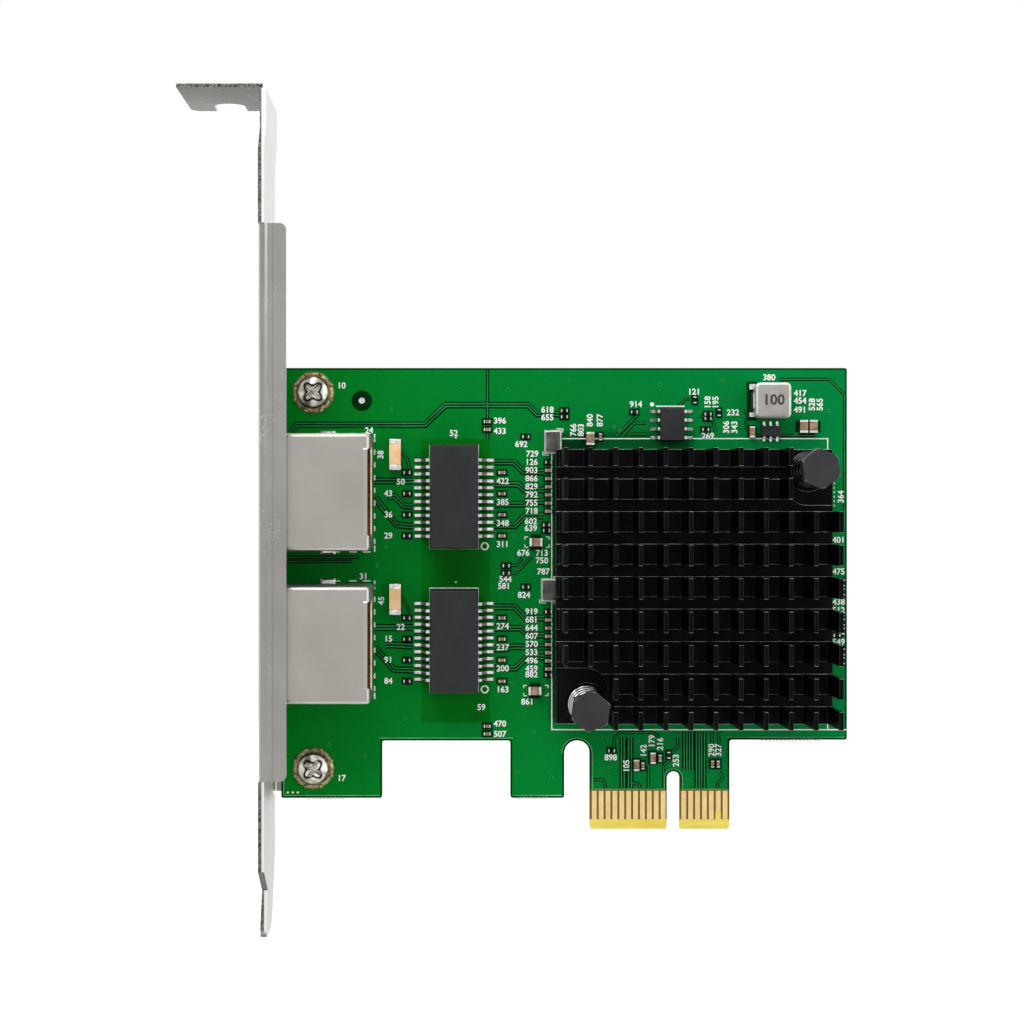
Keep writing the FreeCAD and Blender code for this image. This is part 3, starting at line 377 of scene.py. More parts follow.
def bracket_plating():
    """Plated sheet steel with a drawn grain, and painted light and shade: shade along the bend and
    underneath, light on the faces to the left and right and most on the inner face, a painted highlight on
    the sheet's narrow edges; the stamped edges of the blade and the tab are dark and torn.
    """
    steel = Finish("bracket_plating", metallic=0.95)
    corner = box_mm("mounting_bracket")[0]
    outside = corner.x - 1
    below = corner.z - 1
    blade = corner.x + BLADE_IN
    grain = steel.streaks(0.35, (1.0, 1.0, 0.03))
    tone = steel.mottled(steel.cloud(9.0), (146, 144, 139), (162, 160, 155))
    tone = steel.mix(steel.spread(grain, 0.0, 0.3), tone, (132, 130, 125))
    # Painted shade along the flange's bend, and a darker line at the crease beside it.
    bend_shade = steel.field(blade, blade + 0.45, *FLANGE, 0.2)
    crease = steel.field(blade + 1.95, blade + 2.15, *FLANGE, 0.1)
    tone = steel.mix(steel.times(steel.most(bend_shade, crease), 0.4), tone, (112, 111, 107))

    # Painted light: faces to the left and right are painted lighter, and the inner face near white and
    # lighter towards the top.
    ways = steel.ways()
    rightward = steel.maths("GREATER_THAN", steel.split(steel.normal())["X"], 0.0)
    inner = steel.times(ways["Along"], rightward)
    upper = steel.ramp(steel.axis("Z"), 5.0 * MM, 90.0 * MM)
    tone = steel.mix(ways["Along"], tone, (184, 183, 179))
    tone = steel.mix(inner, tone, steel.mix(upper, (226, 227, 224), (232, 233, 231)))

    # Painted shade on the downward faces, varying with depth and with distance from the blade.
    depth = steel.ramp(steel.axis("Y"), corner.y * MM, BACK)
    aside = steel.ramp(steel.axis("X"), corner.x * MM, blade * MM)
    under = steel.mix(depth, (84, 83, 80), (140, 138, 133))
    under = steel.mix(steel.times(aside, 0.6), under, (92, 91, 88))
    tone = steel.mix(ways["Under"], tone, under)

    flange = steel.field(outside, 0.0, *FLANGE, 0.05)
    narrow = steel.maths("SUBTRACT", 1.0, steel.most(ways["Side"], flange))
    narrow = steel.times(narrow, steel.field(outside, blade + 1.3, below, 110.0, 0.05))
    blade_part = steel.field(blade - 1.0, blade + 0.5, below, 105.0, 0.12)
    tab_part = steel.field(outside, blade + 0.7, *TAB_SHEET, 0.12)
    torn = steel.mix(steel.spread(steel.streaks(0.3), -0.1, 0.9), (44, 43, 39), (142, 141, 135))
    # Painted highlight: the sheet's narrow edges are near white, except on the blade and the tab, where they
    # are dark and torn.
    tone = steel.mix(narrow, tone, (232, 232, 226))
    tone = steel.mix(steel.times(narrow, steel.most(blade_part, tab_part)), tone, torn)

    marks = steel.scuffs(7.0, 0.6)
    tone = steel.mix(marks, tone, (236, 236, 232))
    # The inner face is also less metallic, as part of its painted light.
    steel.set("Metallic", steel.maths("SUBTRACT", 0.95, steel.times(inner, 0.35)))
    roughness = steel.maths("ADD", steel.spread(grain, 0.3, 0.46), steel.times(marks, 0.2))
    return steel.done(tone, roughness, grain, 0.004)


# The bracket screws' heads, in millimetres: the recess's mean outline and how far its four lobes leave it,
# where the painted shade round the rim begins and ends, and the depths at which the recess and the shank
# begin.
RECESS_RADIUS = 1.25
RECESS_LOBE = 0.32
RIM_SHADE_RADII = (2.02, 2.16)
RECESS_DEPTHS = (0.62, 0.9)
SHANK_DEPTHS = (2.2, 2.5)


def screw_head():
    """Nickel on the bracket screws: bright dome, with painted shade round the recess's lobes, in the recess,
    round the rim and on the broken edges.
    """
    nickel = Finish("screw_head_nickel", metallic=0.95)
    patches = nickel.cloud(0.9)
    fine = nickel.streaks(0.4)
    tone = nickel.mottled(patches, (168, 164, 152), (250, 247, 238))
    low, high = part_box("bracket_screws")
    radius = (high.x - low.x) / 2
    recess_shade_outlines = []
    reaches = []
    for centre_z in (low.z + radius, high.z - radius):
        shifted = nickel.add("ShaderNodeVectorMath", {0: nickel.place, 1: (-low.x - radius, 0.0, -centre_z)},
                             operation="ADD")
        parts = nickel.split(shifted.outputs[0])
        squares = [nickel.maths("POWER", parts[axis], 2.0) for axis in "XZ"]
        reach = nickel.times(nickel.maths("SQRT", nickel.maths("ADD", *squares)), 1.0 / MM)
        turn = nickel.maths("ARCTAN2", parts["X"], parts["Z"])
        lobes = nickel.times(nickel.maths("COSINE", nickel.times(turn, 4.0)), RECESS_LOBE)
        rim = nickel.maths("SUBTRACT", RECESS_RADIUS, lobes)
        away = nickel.maths("ABSOLUTE", nickel.maths("SUBTRACT", reach, rim))
        recess_shade_outlines.append(nickel.ramp(away, 0.32, 0.1))
        reaches.append(reach)
    # Painted shade: dark outlines round the recess's four lobes.
    tone = nickel.mix(nickel.most(*recess_shade_outlines), tone, (30, 27, 22))
    # Painted shade round the rim of the dome, uneven in patches.
    rim_shade = nickel.ramp(nickel.maths("MINIMUM", *reaches), *RIM_SHADE_RADII)
    rim_shade_patches = nickel.spread(nickel.cloud(0.7), -0.6, 1.3)
    tone = nickel.mix(rim_shade, tone, nickel.mix(rim_shade_patches, (34, 31, 24), (116, 106, 82)))
    depth = nickel.axis("Y")
    sunk, shank = [nickel.ramp(depth, low.y + first * MM, low.y + last * MM)
                   for first, last in (RECESS_DEPTHS, SHANK_DEPTHS)]
    # Painted shade in the recess, mostly darker than the dome.
    tone = nickel.mix(sunk, tone, nickel.mottled(fine, (96, 88, 72), (226, 218, 200)))
    tone = nickel.mix(shank, tone, (178, 175, 167))
    # Painted shade on the broken edges.
    tone = nickel.mix(nickel.times(nickel.ways()["Edge"], 0.7), tone, (70, 66, 56))
    return nickel.done(tone, nickel.spread(fine, 0.14, 0.3), patches, 0.03)


def coil_steel():
    """Spring wire, with painted light on the lower-left coil and painted shade on the upper-right one, where
    the heatsink hides it.
    """
    wire = Finish("spring_wire", metallic=1.0)
    fine = wire.streaks(0.2)
    # Painted light to the left, painted shade to the right, by x.
    tone = wire.mix(wire.ramp(wire.axis("X"), 0.0, 10.0 * MM), (206, 206, 208), (58, 58, 60))
    tone = wire.mix(wire.spread(fine, 0.0, 0.3), tone, (40, 40, 42))
    return wire.done(tone, wire.spread(fine, 0.14, 0.26))


def finish(name, dark, light, rough, size=2.0, metallic=0.0, specular=0.5, grain=0.0, grain_size=0.2,
           stretch=EVEN, coat=0.0, side=None, edge=None):
    """Uneven colour between two tones, roughness that varies with it, and a fine grain or drawn lines; side
    is a painted shade or light on faces off the board's plane, edge a painted highlight on broken edges.
    """
    coating = Finish(name, metallic, specular, coat)
    patches = coating.cloud(size)
    fine = coating.streaks(grain_size, stretch)
    tone = coating.mix(coating.spread(fine, 0.0, 0.22), coating.mottled(patches, dark, light), dark)
    ways = coating.ways() if side or edge else None
    # Painted shade, or painted light, on faces off the board's plane.
    if side:
        tone = coating.mix(ways["Side"], tone, side)
    # Painted highlight on the broken edges, in patches.
    if edge:
        tone = coating.mix(coating.times(ways["Edge"], coating.spread(patches, 0.4, 1.0)), tone, edge)
    return coating.done(tone, coating.spread(fine, *rough), fine, grain)


ALONG_X = (0.05, 1.0, 1.0)
ALONG_Z = (1.0, 1.0, 0.1)
FINISH = {
    "board": solder_mask(),
    "bracket": bracket_plating(),
    "heatsink": anodised(),
    "screw_head": screw_head(),
    "spring": coil_steel(),
    "clearance": finish("mask_between_copper", (0, 34, 10), (0, 50, 18), (0.25, 0.4), 3.0, specular=0.03),
    "chip_gap": finish("mask_round_chip_pads", (0, 30, 12), (0, 62, 24), (0.25, 0.4), 1.0, specular=0.03),
    "trace": finish("mask_over_trace", (16, 128, 56), (50, 158, 92), (0.25, 0.35), 4.0, specular=0.05),
    "plane_edge": finish("mask_over_plane_edge", (60, 160, 90), (120, 204, 138), (0.25, 0.35), 3.0,
                         specular=0.05),
    "sawn": finish("sawn_laminate", (150, 176, 140), (222, 232, 214), (0.6, 0.8), 0.6, grain=0.02),
    "print": finish("white_printing", (246, 250, 246), (255, 255, 255), (0.5, 0.7), 1.5, specular=0.2,
                    grain=0.004),
    "ink": finish("dark_ink", (26, 25, 24), (48, 46, 44), (0.5, 0.65), 0.8),
    "gold": finish("gold_plating", (230, 195, 130), (244, 215, 156), (0.3, 0.42), 1.2, metallic=0.85,
                   grain=0.004, grain_size=0.1, stretch=ALONG_Z),
    # Faces off the board's plane take a painted shade.
    "ring_gold": finish("hole_pad_plating", (92, 80, 50), (196, 182, 138), (0.25, 0.5), 0.9, metallic=0.85,
                        grain=0.02, grain_size=0.35, side=(60, 50, 26)),
    # Faces off the board's plane take a painted shade.
    "tin": finish("solder_and_tin", (186, 188, 184), (250, 250, 246), (0.16, 0.36), 0.6, metallic=0.9,
                  grain=0.03, grain_size=0.28, side=(96, 95, 90)),
    # Faces off the board's plane take a painted shade.
    "nickel": finish("screw_nickel", (120, 118, 110), (226, 224, 216), (0.14, 0.3), 1.0, metallic=1.0,
                     grain=0.012, grain_size=0.4, side=(62, 60, 54)),
    # Broken edges take a painted highlight.
    "black_screw": finish("black_zinc", (40, 40, 43), (50, 50, 53), (0.42, 0.52), 3.0, specular=0.3,
                          metallic=0.25, grain=0.006, grain_size=0.14, edge=(104, 104, 106)),
    # Broken edges take a painted highlight.
    "jack": finish("jack_plating", (158, 156, 149), (170, 168, 161), (0.34, 0.46), 9.0, metallic=0.95,
                   grain=0.003, grain_size=0.3, stretch=ALONG_X, edge=(196, 195, 189)),
    "jack_flat": finish("jack_plating_flat", (166, 164, 157), (178, 176, 169), (0.34, 0.46), 9.0,
                        metallic=0.95, grain=0.003, grain_size=0.3, stretch=ALONG_X),
    "jack_seam": finish("jack_brass", (196, 166, 108), (246, 232, 186), (0.3, 0.5), 1.1, metallic=0.8,
                        grain=0.01),
    # Dark strip of painted shade for the seam behind the jacks' covers.
    "jack_gap": finish("jack_gap", (28, 20, 12), (74, 54, 34), (0.5, 0.7), 0.9, specular=0.1),
    "housing": finish("jack_plastic", (16, 16, 17), (34, 34, 36), (0.45, 0.6), 2.0, grain=0.01,
                      grain_size=0.15),
    "lamp": finish("lamp_plastic", (190, 205, 160), (226, 232, 200), (0.18, 0.3), 1.0, coat=0.3),
    # Broken edges take a painted highlight.
    "package": finish("moulded_epoxy", (28, 29, 31), (38, 39, 41), (0.5, 0.62), 3.0, specular=0.26,
                      grain=0.012, grain_size=0.09, edge=(70, 72, 74)),
    "pad": finish("thermal_pad", (120, 126, 134), (140, 146, 152), (0.6, 0.75), 2.0, grain=0.01),
    # Painted light: faces off the board's plane are lighter, and the broken edges near white as a highlight.
    "inductor": finish("inductor_plating", (150, 148, 141), (172, 170, 162), (0.42, 0.55), 1.6,
                       metallic=0.6, grain=0.012, grain_size=0.25, side=(206, 206, 200),
                       edge=(250, 250, 248)),
    # Broken edges take a painted highlight.
    "crystal": finish("crystal_lid", (58, 58, 55), (112, 111, 106), (0.28, 0.42), 1.6, metallic=0.9,
                      grain=0.005, grain_size=0.2, stretch=ALONG_Z, edge=(250, 250, 246)),
    "crystal_base": finish("crystal_frame", (176, 172, 160), (238, 236, 228), (0.4, 0.55), 0.8,
                           metallic=0.5, grain=0.005),
    # Faces off the board's plane take a painted shade.
    "tan_ceramic": finish("tan_ceramic", (122, 98, 76), (186, 158, 128), (0.3, 0.45), 0.9, specular=0.3,
                          grain=0.006, grain_size=0.12, side=(60, 44, 30)),
    # Broken edges take a painted highlight.
    "pale_ceramic": finish("pale_tan_ceramic", (242, 193, 136), (254, 217, 168), (0.28, 0.4), 1.6,
                           specular=0.3, grain=0.005, grain_size=0.15, edge=(255, 232, 204)),
    "resistor": finish("black_glaze", (8, 9, 9), (26, 27, 27), (0.2, 0.34), 0.8, specular=0.12),
}


# ---------------------------------------------------------------- objects
SAME_CORNER = 1e-7
FLAT_ENOUGH = 0.9995


def keep(piece, key, *nodes):
    """Ride on the card's one body, and hide the CAD nodes that it stands for; key, its finish, is not used.
    """
    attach(piece, "root")
    if nodes:
        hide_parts(*nodes)
    return piece


def new_object(name, data):
    piece = bpy.data.objects.new(name, data)
    bpy.context.scene.collection.objects.link(piece)
    return piece


def set_only_material(mesh, key):
    mesh.materials.clear()
    mesh.materials.append(FINISH[key])
    for face in mesh.polygons:
        face.material_index = 0


def merged_shape(node):
    """The node's mesh with its corners joined."""
    shape = bmesh.new()
    shape.from_mesh(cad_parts[node].data)
    bmesh.ops.remove_doubles(shape, verts=shape.verts, dist=SAME_CORNER)
    return shape


def evaluated_mesh(carrier, name):
    """Plain mesh of an object with its modifiers applied; the object is removed."""
    graph = bpy.context.evaluated_depsgraph_get()
    mesh = bpy.data.meshes.new_from_object(carrier.evaluated_get(graph), depsgraph=graph)
    mesh.name = name
    bpy.data.objects.remove(carrier)
    return mesh


def dressed(node, key, edge, segments, smooth=40):
    """The CAD node's own shape with its sharp edges broken, in place of the node."""
    shape = merged_shape(node)
    bmesh.ops.dissolve_limit(shape, angle_limit=math.radians(0.8), verts=shape.verts, edges=shape.edges)
    mesh = bpy.data.meshes.new(node + "_merged")
    shape.to_mesh(mesh)
    shape.free()
    set_only_material(mesh, key)
    carrier = new_object(node + "_carrier", mesh)
    bevel = carrier.modifiers.new("broken edges", "BEVEL")
    bevel.width = edge * MM
    bevel.segments = segments
    bevel.limit_method = "ANGLE"
    bevel.angle_limit = math.radians(35)
    bevel.use_clamp_overlap = True
    bevel.miter_outer = "MITER_SHARP"
    finished = evaluated_mesh(carrier, node + "_finished")
    bpy.data.meshes.remove(mesh)
    kept_normals = finished.attributes.get("custom_normal")
    if kept_normals:
        finished.attributes.remove(kept_normals)
    finished.set_sharp_from_angle(angle=math.radians(smooth))
    for face in finished.polygons:
        face.use_smooth = max(abs(part) for part in face.normal) < FLAT_ENOUGH
    return keep(new_object(node + "_finished", finished), key, node)


def solids_of(node):
    """Lowest and highest corner, in millimetres, of each separate solid of a node."""
    shape = merged_shape(node)
    seen = set()
    boxes = []
    for first in shape.verts:
        if first in seen:
            continue
        seen.add(first)
        stack = [first]
        low = first.co.copy()
        high = first.co.copy()
        while stack:
            vertex = stack.pop()
            low = Vector(map(min, low, vertex.co))
            high = Vector(map(max, high, vertex.co))
            for edge in vertex.link_edges:
                other = edge.other_vert(vertex)
                if other not in seen:
                    seen.add(other)
                    stack.append(other)
        boxes.append((low / MM, high / MM))
    shape.free()
    return sorted(boxes, key=lambda box: (round(box[0].x, 3), round(box[0].z, 3)))


# ---------------------------------------------------------------- geometry-node trees
QUARTER = math.pi / 2


def layout_group(name, inputs=None):
    """Tree that reads a flat layout, how it is turned and shifted, and its material."""
    shared = {"Geometry": GEOMETRY, "Turn": (QUARTER, 0.0, 0.0), "Shift": (0.0, 0.0, 0.0),
              "Material": MATERIAL}
    return Group(name, {**shared, **(inputs or {})}, ["Geometry"], GEOMETRY, "GeometryNodeTree")


def finish_tree(group, geometry):
    """Stand the flat layout up against a face of the board, realize it and give it its material."""
    turned = group.add("GeometryNodeTransform", {"Geometry": geometry, "Rotation": group.given("Turn"),
                                                 "Translation": group.given("Shift")})
    real = group.add("GeometryNodeRealizeInstances", {"Geometry": turned.outputs[0]})
    dyed = group.add("GeometryNodeSetMaterial", {"Geometry": real.outputs[0],
                                                 "Material": group.given("Material")})
    group.give("Geometry", dyed.outputs[0])
    return group.tree


def build_swept_tree(name, section_kind, sizes, upright=False, **section):
    """A section, with its named sizes, run along every line of a layout."""
    group = layout_group(name, {label: 0.0002 for label in sizes})
    path = group.add("GeometryNodeMeshToCurve", {"Mesh": group.given("Geometry")}).outputs[0]
    if upright:
        path = group.add("GeometryNodeSetCurveNormal", {"Curve": path}, mode="Z_UP").outputs[0]
    section.update({label: group.given(label) for label in sizes})
    profile = group.add(section_kind, section).outputs[0]
    swept = group.add("GeometryNodeCurveToMesh", {"Curve": path, "Profile Curve": profile,
                                                  "Fill Caps": True})
    return finish_tree(group, swept.outputs[0])


def build_seat_tree(name, shape_kind, shape_inputs, spin=0.0):
    """One shape on every point, scaled by the point's size."""
    group = layout_group(name)
    shape = group.add(shape_kind, shape_inputs)
    size = group.add("GeometryNodeInputNamedAttribute", {"Name": "size"}, data_type="FLOAT_VECTOR")
    ready = group.add("GeometryNodeTransform", {"Geometry": shape.outputs[0], "Rotation": (0.0, 0.0, spin)})
    placed = group.add("GeometryNodeInstanceOnPoints", {
        "Points": group.given("Geometry"), "Instance": ready.outputs[0], "Scale": size.outputs["Attribute"]})
    return finish_tree(group, placed.outputs[0])


def build_cone_tree(name, sides, radius, taper, spin=0.0):
    """Low frustum, one unit high, narrowed by taper at its top."""
    return build_seat_tree(name, "GeometryNodeMeshCone", {
        "Vertices": sides, "Radius Top": radius * taper, "Radius Bottom": radius, "Depth": 1.0}, spin)


half_diagonal = math.sqrt(0.5)
RIBBON = build_swept_tree("ribbon", "GeometryNodeCurvePrimitiveQuadrilateral", ("Width", "Height"), True)
COIL = build_swept_tree("coil", "GeometryNodeCurvePrimitiveCircle", ("Radius",), Resolution=10)
FILLET = build_cone_tree("solder_fillets", 4, half_diagonal, 0.7, math.pi / 4)
FOLDED = build_cone_tree("folded_edges", 4, half_diagonal, 0.94, math.pi / 4)
DISC = build_cone_tree("round_pads", 24, 0.5, 0.92)
DOME = build_seat_tree("solder_domes", "GeometryNodeMeshUVSphere", {
    "Segments": 16, "Rings": 8, "Radius": 0.5})


def grown(name, source, tree, key, settings, at_back=False):
    """Plain mesh object from a tree run on a layout mesh, set against one face of the board."""
    carrier = new_object(name + "_carrier", source)
    modifier = carrier.modifiers.new("build", "NODES")
    modifier.node_group = tree
    values = {"Turn": (-QUARTER if at_back else QUARTER, 0.0, 0.0),
              "Shift": (0.0, BACK if at_back else FACE, 0.0), "Material": FINISH[key], **settings}
    for item in tree.interface.items_tree:
        if item.in_out == "INPUT" and item.name in values:
            modifier[item.identifier] = values[item.name]
    mesh = evaluated_mesh(carrier, name)
    bpy.data.meshes.remove(source)
    shape = bmesh.new()
    shape.from_mesh(mesh)
    bmesh.ops.recalc_face_normals(shape, faces=shape.faces)
    shape.to_mesh(mesh)
    shape.free()
    set_only_material(mesh, key)
    return new_object(name, mesh)


def layout(lines, loops=(), flip=1):
    """Mesh of edges through (x, z, height) points, for open lines and for closed loops."""
    corners = []
    edges = []
    for group, closed in ((lines, False), (loops, True)):
        for points in group:
            first = len(corners)
            corners += [(x * MM, flip * z * MM, height * MM) for x, z, height in points]
            edges += [(k, k + 1) for k in range(first, len(corners) - 1)]
            if closed:
                edges.append((len(corners) - 1, first))
    mesh = bpy.data.meshes.new("layout")
    mesh.from_pydata(corners, edges, [])
    return mesh


def ribbons(name, lines, width, height, key, loops=(), at_back=False):
    """Strips along lines of (x, z), lying on the board."""
    raised = [[[(x, z, height / 2) for x, z in points] for points in group] for group in (lines, loops)]
    source = layout(*raised, -1 if at_back else 1)
    sizes = {"Width": width * MM, "Height": height * MM}
    return keep(grown(name, source, RIBBON, key, sizes, at_back), key)


def seated(name, places, tree, key, at_back=False):
    """Shapes at (x, z, middle height, width, length, thickness), on the board."""
    flip = -1 if at_back else 1
    mesh = bpy.data.meshes.new("layout")
    mesh.from_pydata([(x * MM, flip * z * MM, middle * MM) for x, z, middle, *_ in places], [], [])
    size = mesh.attributes.new("size", "FLOAT_VECTOR", "POINT")
    for index, spot in enumerate(places):
        size.data[index].vector = Vector(spot[3:6]) * MM
    return keep(grown(name, mesh, tree, key, {}, at_back), key)


def ring(x, z, radius, count, start=0.0):
    """Points evenly round a circle."""
    angles = [2 * math.pi * (k + start) / count for k in range(count)]
    return [(x + radius * math.cos(angle), z + radius * math.sin(angle)) for angle in angles]


def beside(points, distance):
    """The same line moved sideways, for one track of a pair."""
    moved = []
    for index, here in enumerate(points):
        before = points[max(index - 1, 0)]
        after = points[min(index + 1, len(points) - 1)]
        side = Vector((0.0, 0.0))
        for a, b in ((before, here), (here, after)):
            run = Vector(b) - Vector(a)
            if run.length > 0:
                side += Vector((-run.y, run.x)).normalized()
        moved.append(tuple(Vector(here) + side.normalized() * distance))
    return moved


# ---------------------------------------------------------------- CAD nodes with their finishes
# Nodes that keep the CAD mesh and only take a finish.
PLAIN_NODES = {
    "board": ["circuit_board"],
    "gold": ["edge_contacts", "jack_lower_contacts", "jack_upper_contacts"],
    "package": ["controller_chip"],
    "pad": ["thermal_pad"],
    "crystal_base": ["crystal_lower_base", "crystal_upper_base"],
    "tin": ["controller_solder_balls", "transformer_lower_leads", "transformer_upper_leads",
            "memory_chip_leads", "regulator_leads", "inductor_terminals"]}

# Nodes shown as their own shape with the edges broken: finish, width of the broken edge and its steps.
DRESSED_NODES = {
    "mounting_bracket": ("bracket", 0.08, 2),
    "bracket_screws": ("screw_head", 0.05, 2),
    "heatsink": ("heatsink", 0.19, 1, 30),
    "heatsink_screws": ("black_screw", 0.08, 2),
    "heatsink_nuts": ("nickel", 0.12, 2),
    "memory_chip_body": ("package", 0.05, 2),
    "regulator_body": ("package", 0.04, 2),
    "inductor_body": ("inductor", 0.06, 2),
    "isolation_capacitor_bodies": ("pale_ceramic", 0.06, 2),
    "isolation_capacitor_ends": ("tin", 0.08, 2),
    "chip_capacitor_bodies": ("tan_ceramic", 0.03, 1),
    "chip_capacitor_ends": ("tin", 0.05, 1),
    "chip_resistor_bodies": ("resistor", 0.02, 1),
    "chip_resistor_ends": ("tin", 0.05, 1)}
DRESSED_PAIRS = {
    "jack_{}_shield": ("jack", 0.035, 2),
    "jack_{}_housing": ("housing", 0.05, 1),
    "jack_{}_light_windows": ("lamp", 0.15, 3),
    "transformer_{}_body": ("package", 0.08, 2),
    "crystal_{}_lid": ("crystal", 0.13, 2)}


def finished_nodes():
    for key, nodes in PLAIN_NODES.items():
        for node in nodes:
            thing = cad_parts[node]
            for slot in thing.material_slots:
                slot.material = FINISH[key]
            if not thing.material_slots:
                thing.data.materials.append(FINISH[key])
    for node, look in DRESSED_NODES.items():
        dressed(node, *look)
    for name in BOTH:
        for node, look in DRESSED_PAIRS.items():
            dressed(node.format(name), *look)


# ---------------------------------------------------------------- springs
COIL_TURNS = 4.75
COIL_START = math.radians(20)
COIL_RADII = (2.5, 1.9)
WIRE_RADIUS = 0.25
COIL_STEPS = 190


def springs():
    """Round wire coils of the heatsink screws, on the path of the CAD coils."""
    wide, narrow = COIL_RADII
    lines = []
    for low, high in solids_of("heatsink_springs"):
        middle = centre(low, high)
        bottom = FACE / MM - high.y + WIRE_RADIUS
        top = FACE / MM - low.y - WIRE_RADIUS
        points = []
        for k in range(COIL_STEPS + 1):
            share = k / COIL_STEPS
            angle = COIL_START + 2 * math.pi * COIL_TURNS * share
            radius = wide + (narrow - wide) * share
            points.append((middle.x + radius * math.cos(angle), middle.z + radius * math.sin(angle),
                           bottom + (top - bottom) * share))
        lines.append(points)
    piece = grown("heatsink_spring_coils", layout(lines), COIL, "spring", {"Radius": WIRE_RADIUS * MM})
    for face in piece.data.polygons:
        face.use_smooth = True
    keep(piece, "spring", "heatsink_springs")


# ---------------------------------------------------------------- copper under the mask
# Pairs of tracks, as the middle line of each pair.
PAIRS = [
    [(-55.5, 57.6), (-54.7, 58.75), (-36.1, 58.75), (-33.1, 61.6), (-21.1, 61.6), (-19.8, 60.3),
     (-16.6, 60.3)],
    [(-43.4, 50.6), (-37.8, 50.6)],
    [(-43.4, 48.2), (-40.2, 44.2), (-37.8, 44.0)],
    [(-41.7, 48.2), (-40.5, 48.4), (-39.2, 47.0), (-37.8, 46.9)],
    [(-43.4, 29.3), (-37.8, 29.3)],
    [(-43.4, 26.4), (-40.6, 23.2), (-37.8, 23.1)],
    [(-41.9, 26.7), (-41.2, 26.8), (-37.8, 26.6)],
    [(-26.0, 53.3), (-23.2, 53.3), (-21.8, 51.9), (-18.8, 51.9)],
    [(-26.0, 50.1), (-22.5, 50.1), (-21.7, 49.3), (-18.8, 49.3)],
    [(-26.0, 47.2), (-21.8, 47.2), (-21.4, 47.6), (-18.8, 47.6)],
    [(-26.0, 44.1), (-23.0, 44.1), (-21.6, 45.5), (-18.8, 45.5)],
    [(-26.0, 32.3), (-23.1, 32.3), (-21.5, 30.7), (-18.8, 30.7)],
    [(-26.0, 29.2), (-22.2, 29.2), (-21.2, 28.2), (-18.8, 28.2)],
    [(-26.0, 26.2), (-24.3, 26.2), (-23.5, 26.5), (-18.8, 26.5)],
    [(-26.0, 23.4), (-22.9, 23.4), (-21.3, 25.0), (-18.8, 25.0)],
    [(-7.35, 5.8), (-7.35, 13.3)],
    [(-6.3, 5.8), (-6.3, 13.3)],
    [(1.75, 8.6), (1.75, 14.2)],
    [(2.55, 8.6), (2.55, 14.2)],
    [(3.55, 5.8), (3.55, 14.2)],
    [(4.3, 5.8), (4.3, 14.2)],
]
# Single tracks.
TRACKS = [
    [(-8.6, 11.9), (-8.6, 13.2), (-7.7, 14.1), (-3.2, 14.1), (-2.2, 13.6), (-2.2, 12.4), (-1.5, 12.2)],
    [(-6.0, 6.7), (-5.1, 6.7), (-4.9, 6.3), (-4.9, 5.8)],
    [(-11.6, 7.2), (-10.3, 7.2), (-9.9, 6.7), (-9.9, 5.8)],
    [(-3.65, 9.2), (-3.65, 5.8)],
    [(-1.4, 5.8), (-1.4, 9.3), (-0.6, 10.1)],
    [(-0.1, 11.3), (0.6, 12.0), (0.6, 14.1)],
    [(6.7, 8.4), (7.2, 7.6), (6.4, 6.6), (6.4, 5.8)],
    [(5.6, 10.6), (5.6, 14.2)],
    [(6.6, 10.6), (6.6, 14.2)],
    [(-5.0, 60.4), (-8.3, 57.1)],
    [(-4.0, 59.0), (-5.6, 59.0), (-7.4, 57.1)],
    [(-4.0, 57.4), (-6.2, 57.4)],
    [(0.8, 61.5), (1.8, 62.5), (2.4, 62.5)],
    [(3.9, 60.0), (5.7, 59.6), (6.1, 57.7)],
    [(15.4, 65.35), (22.6, 65.35), (24.85, 63.1), (24.85, 43.5)],
    [(-27.0, 66.7), (-27.0, 59.7)],
    [(-27.0, 57.5), (-27.0, 56.7)],
    [(-23.7, 38.3), (-22.8, 38.3), (-21.9, 39.4)],
    [(-23.7, 37.2), (-22.8, 37.2), (-20.6, 39.6)],
    [(-39.6, 55.0), (-38.6, 53.6), (-38.2, 51.8)],
    [(-39.6, 33.8), (-38.6, 32.4), (-38.2, 30.7)],
    [(-56.0, 39.5), (-45.6, 39.5)],
    [(-56.0, 38.9), (-46.6, 38.9)],
    [(10.6, 61.0), (10.6, 58.2), (11.6, 57.2), (20.5, 57.2)],
]
BACK_TRACKS = [
    [(-44.0, 52.0), (-34.0, 52.0), (-30.0, 48.0), (-21.0, 48.0)],
    [(-44.0, 45.6), (-36.0, 45.6), (-33.0, 42.6), (-21.0, 42.6)],
    [(-44.0, 31.0), (-34.0, 31.0), (-31.0, 34.0), (-21.0, 34.0)],
    [(-44.0, 24.0), (-37.0, 24.0), (-33.0, 28.0), (-21.0, 28.0)],
    [(-9.5, 5.8), (-9.5, 12.0), (-13.0, 15.5), (-13.0, 30.0)],
    [(-8.4, 5.8), (-8.4, 12.4), (-11.4, 15.4), (-11.4, 24.0)],
    [(-4.5, 5.8), (-4.5, 18.0), (-1.0, 21.5), (-1.0, 40.0)],
    [(2.5, 5.8), (2.5, 20.0), (6.0, 23.5), (6.0, 33.0)],
    [(3.6, 5.8), (3.6, 18.0), (9.0, 23.4), (9.0, 44.0)],
    [(6.5, 5.8), (6.5, 14.0), (17.0, 24.5), (17.0, 46.0)],
]
PAIR_PITCH = 0.42
TRACK_WIDTH = 0.17
# Width of the gap in the plane round a pair, round a single track and round one on the back.
PAIR_GAP = 1.05
TRACK_GAP = 0.5
BACK_GAP = 0.6


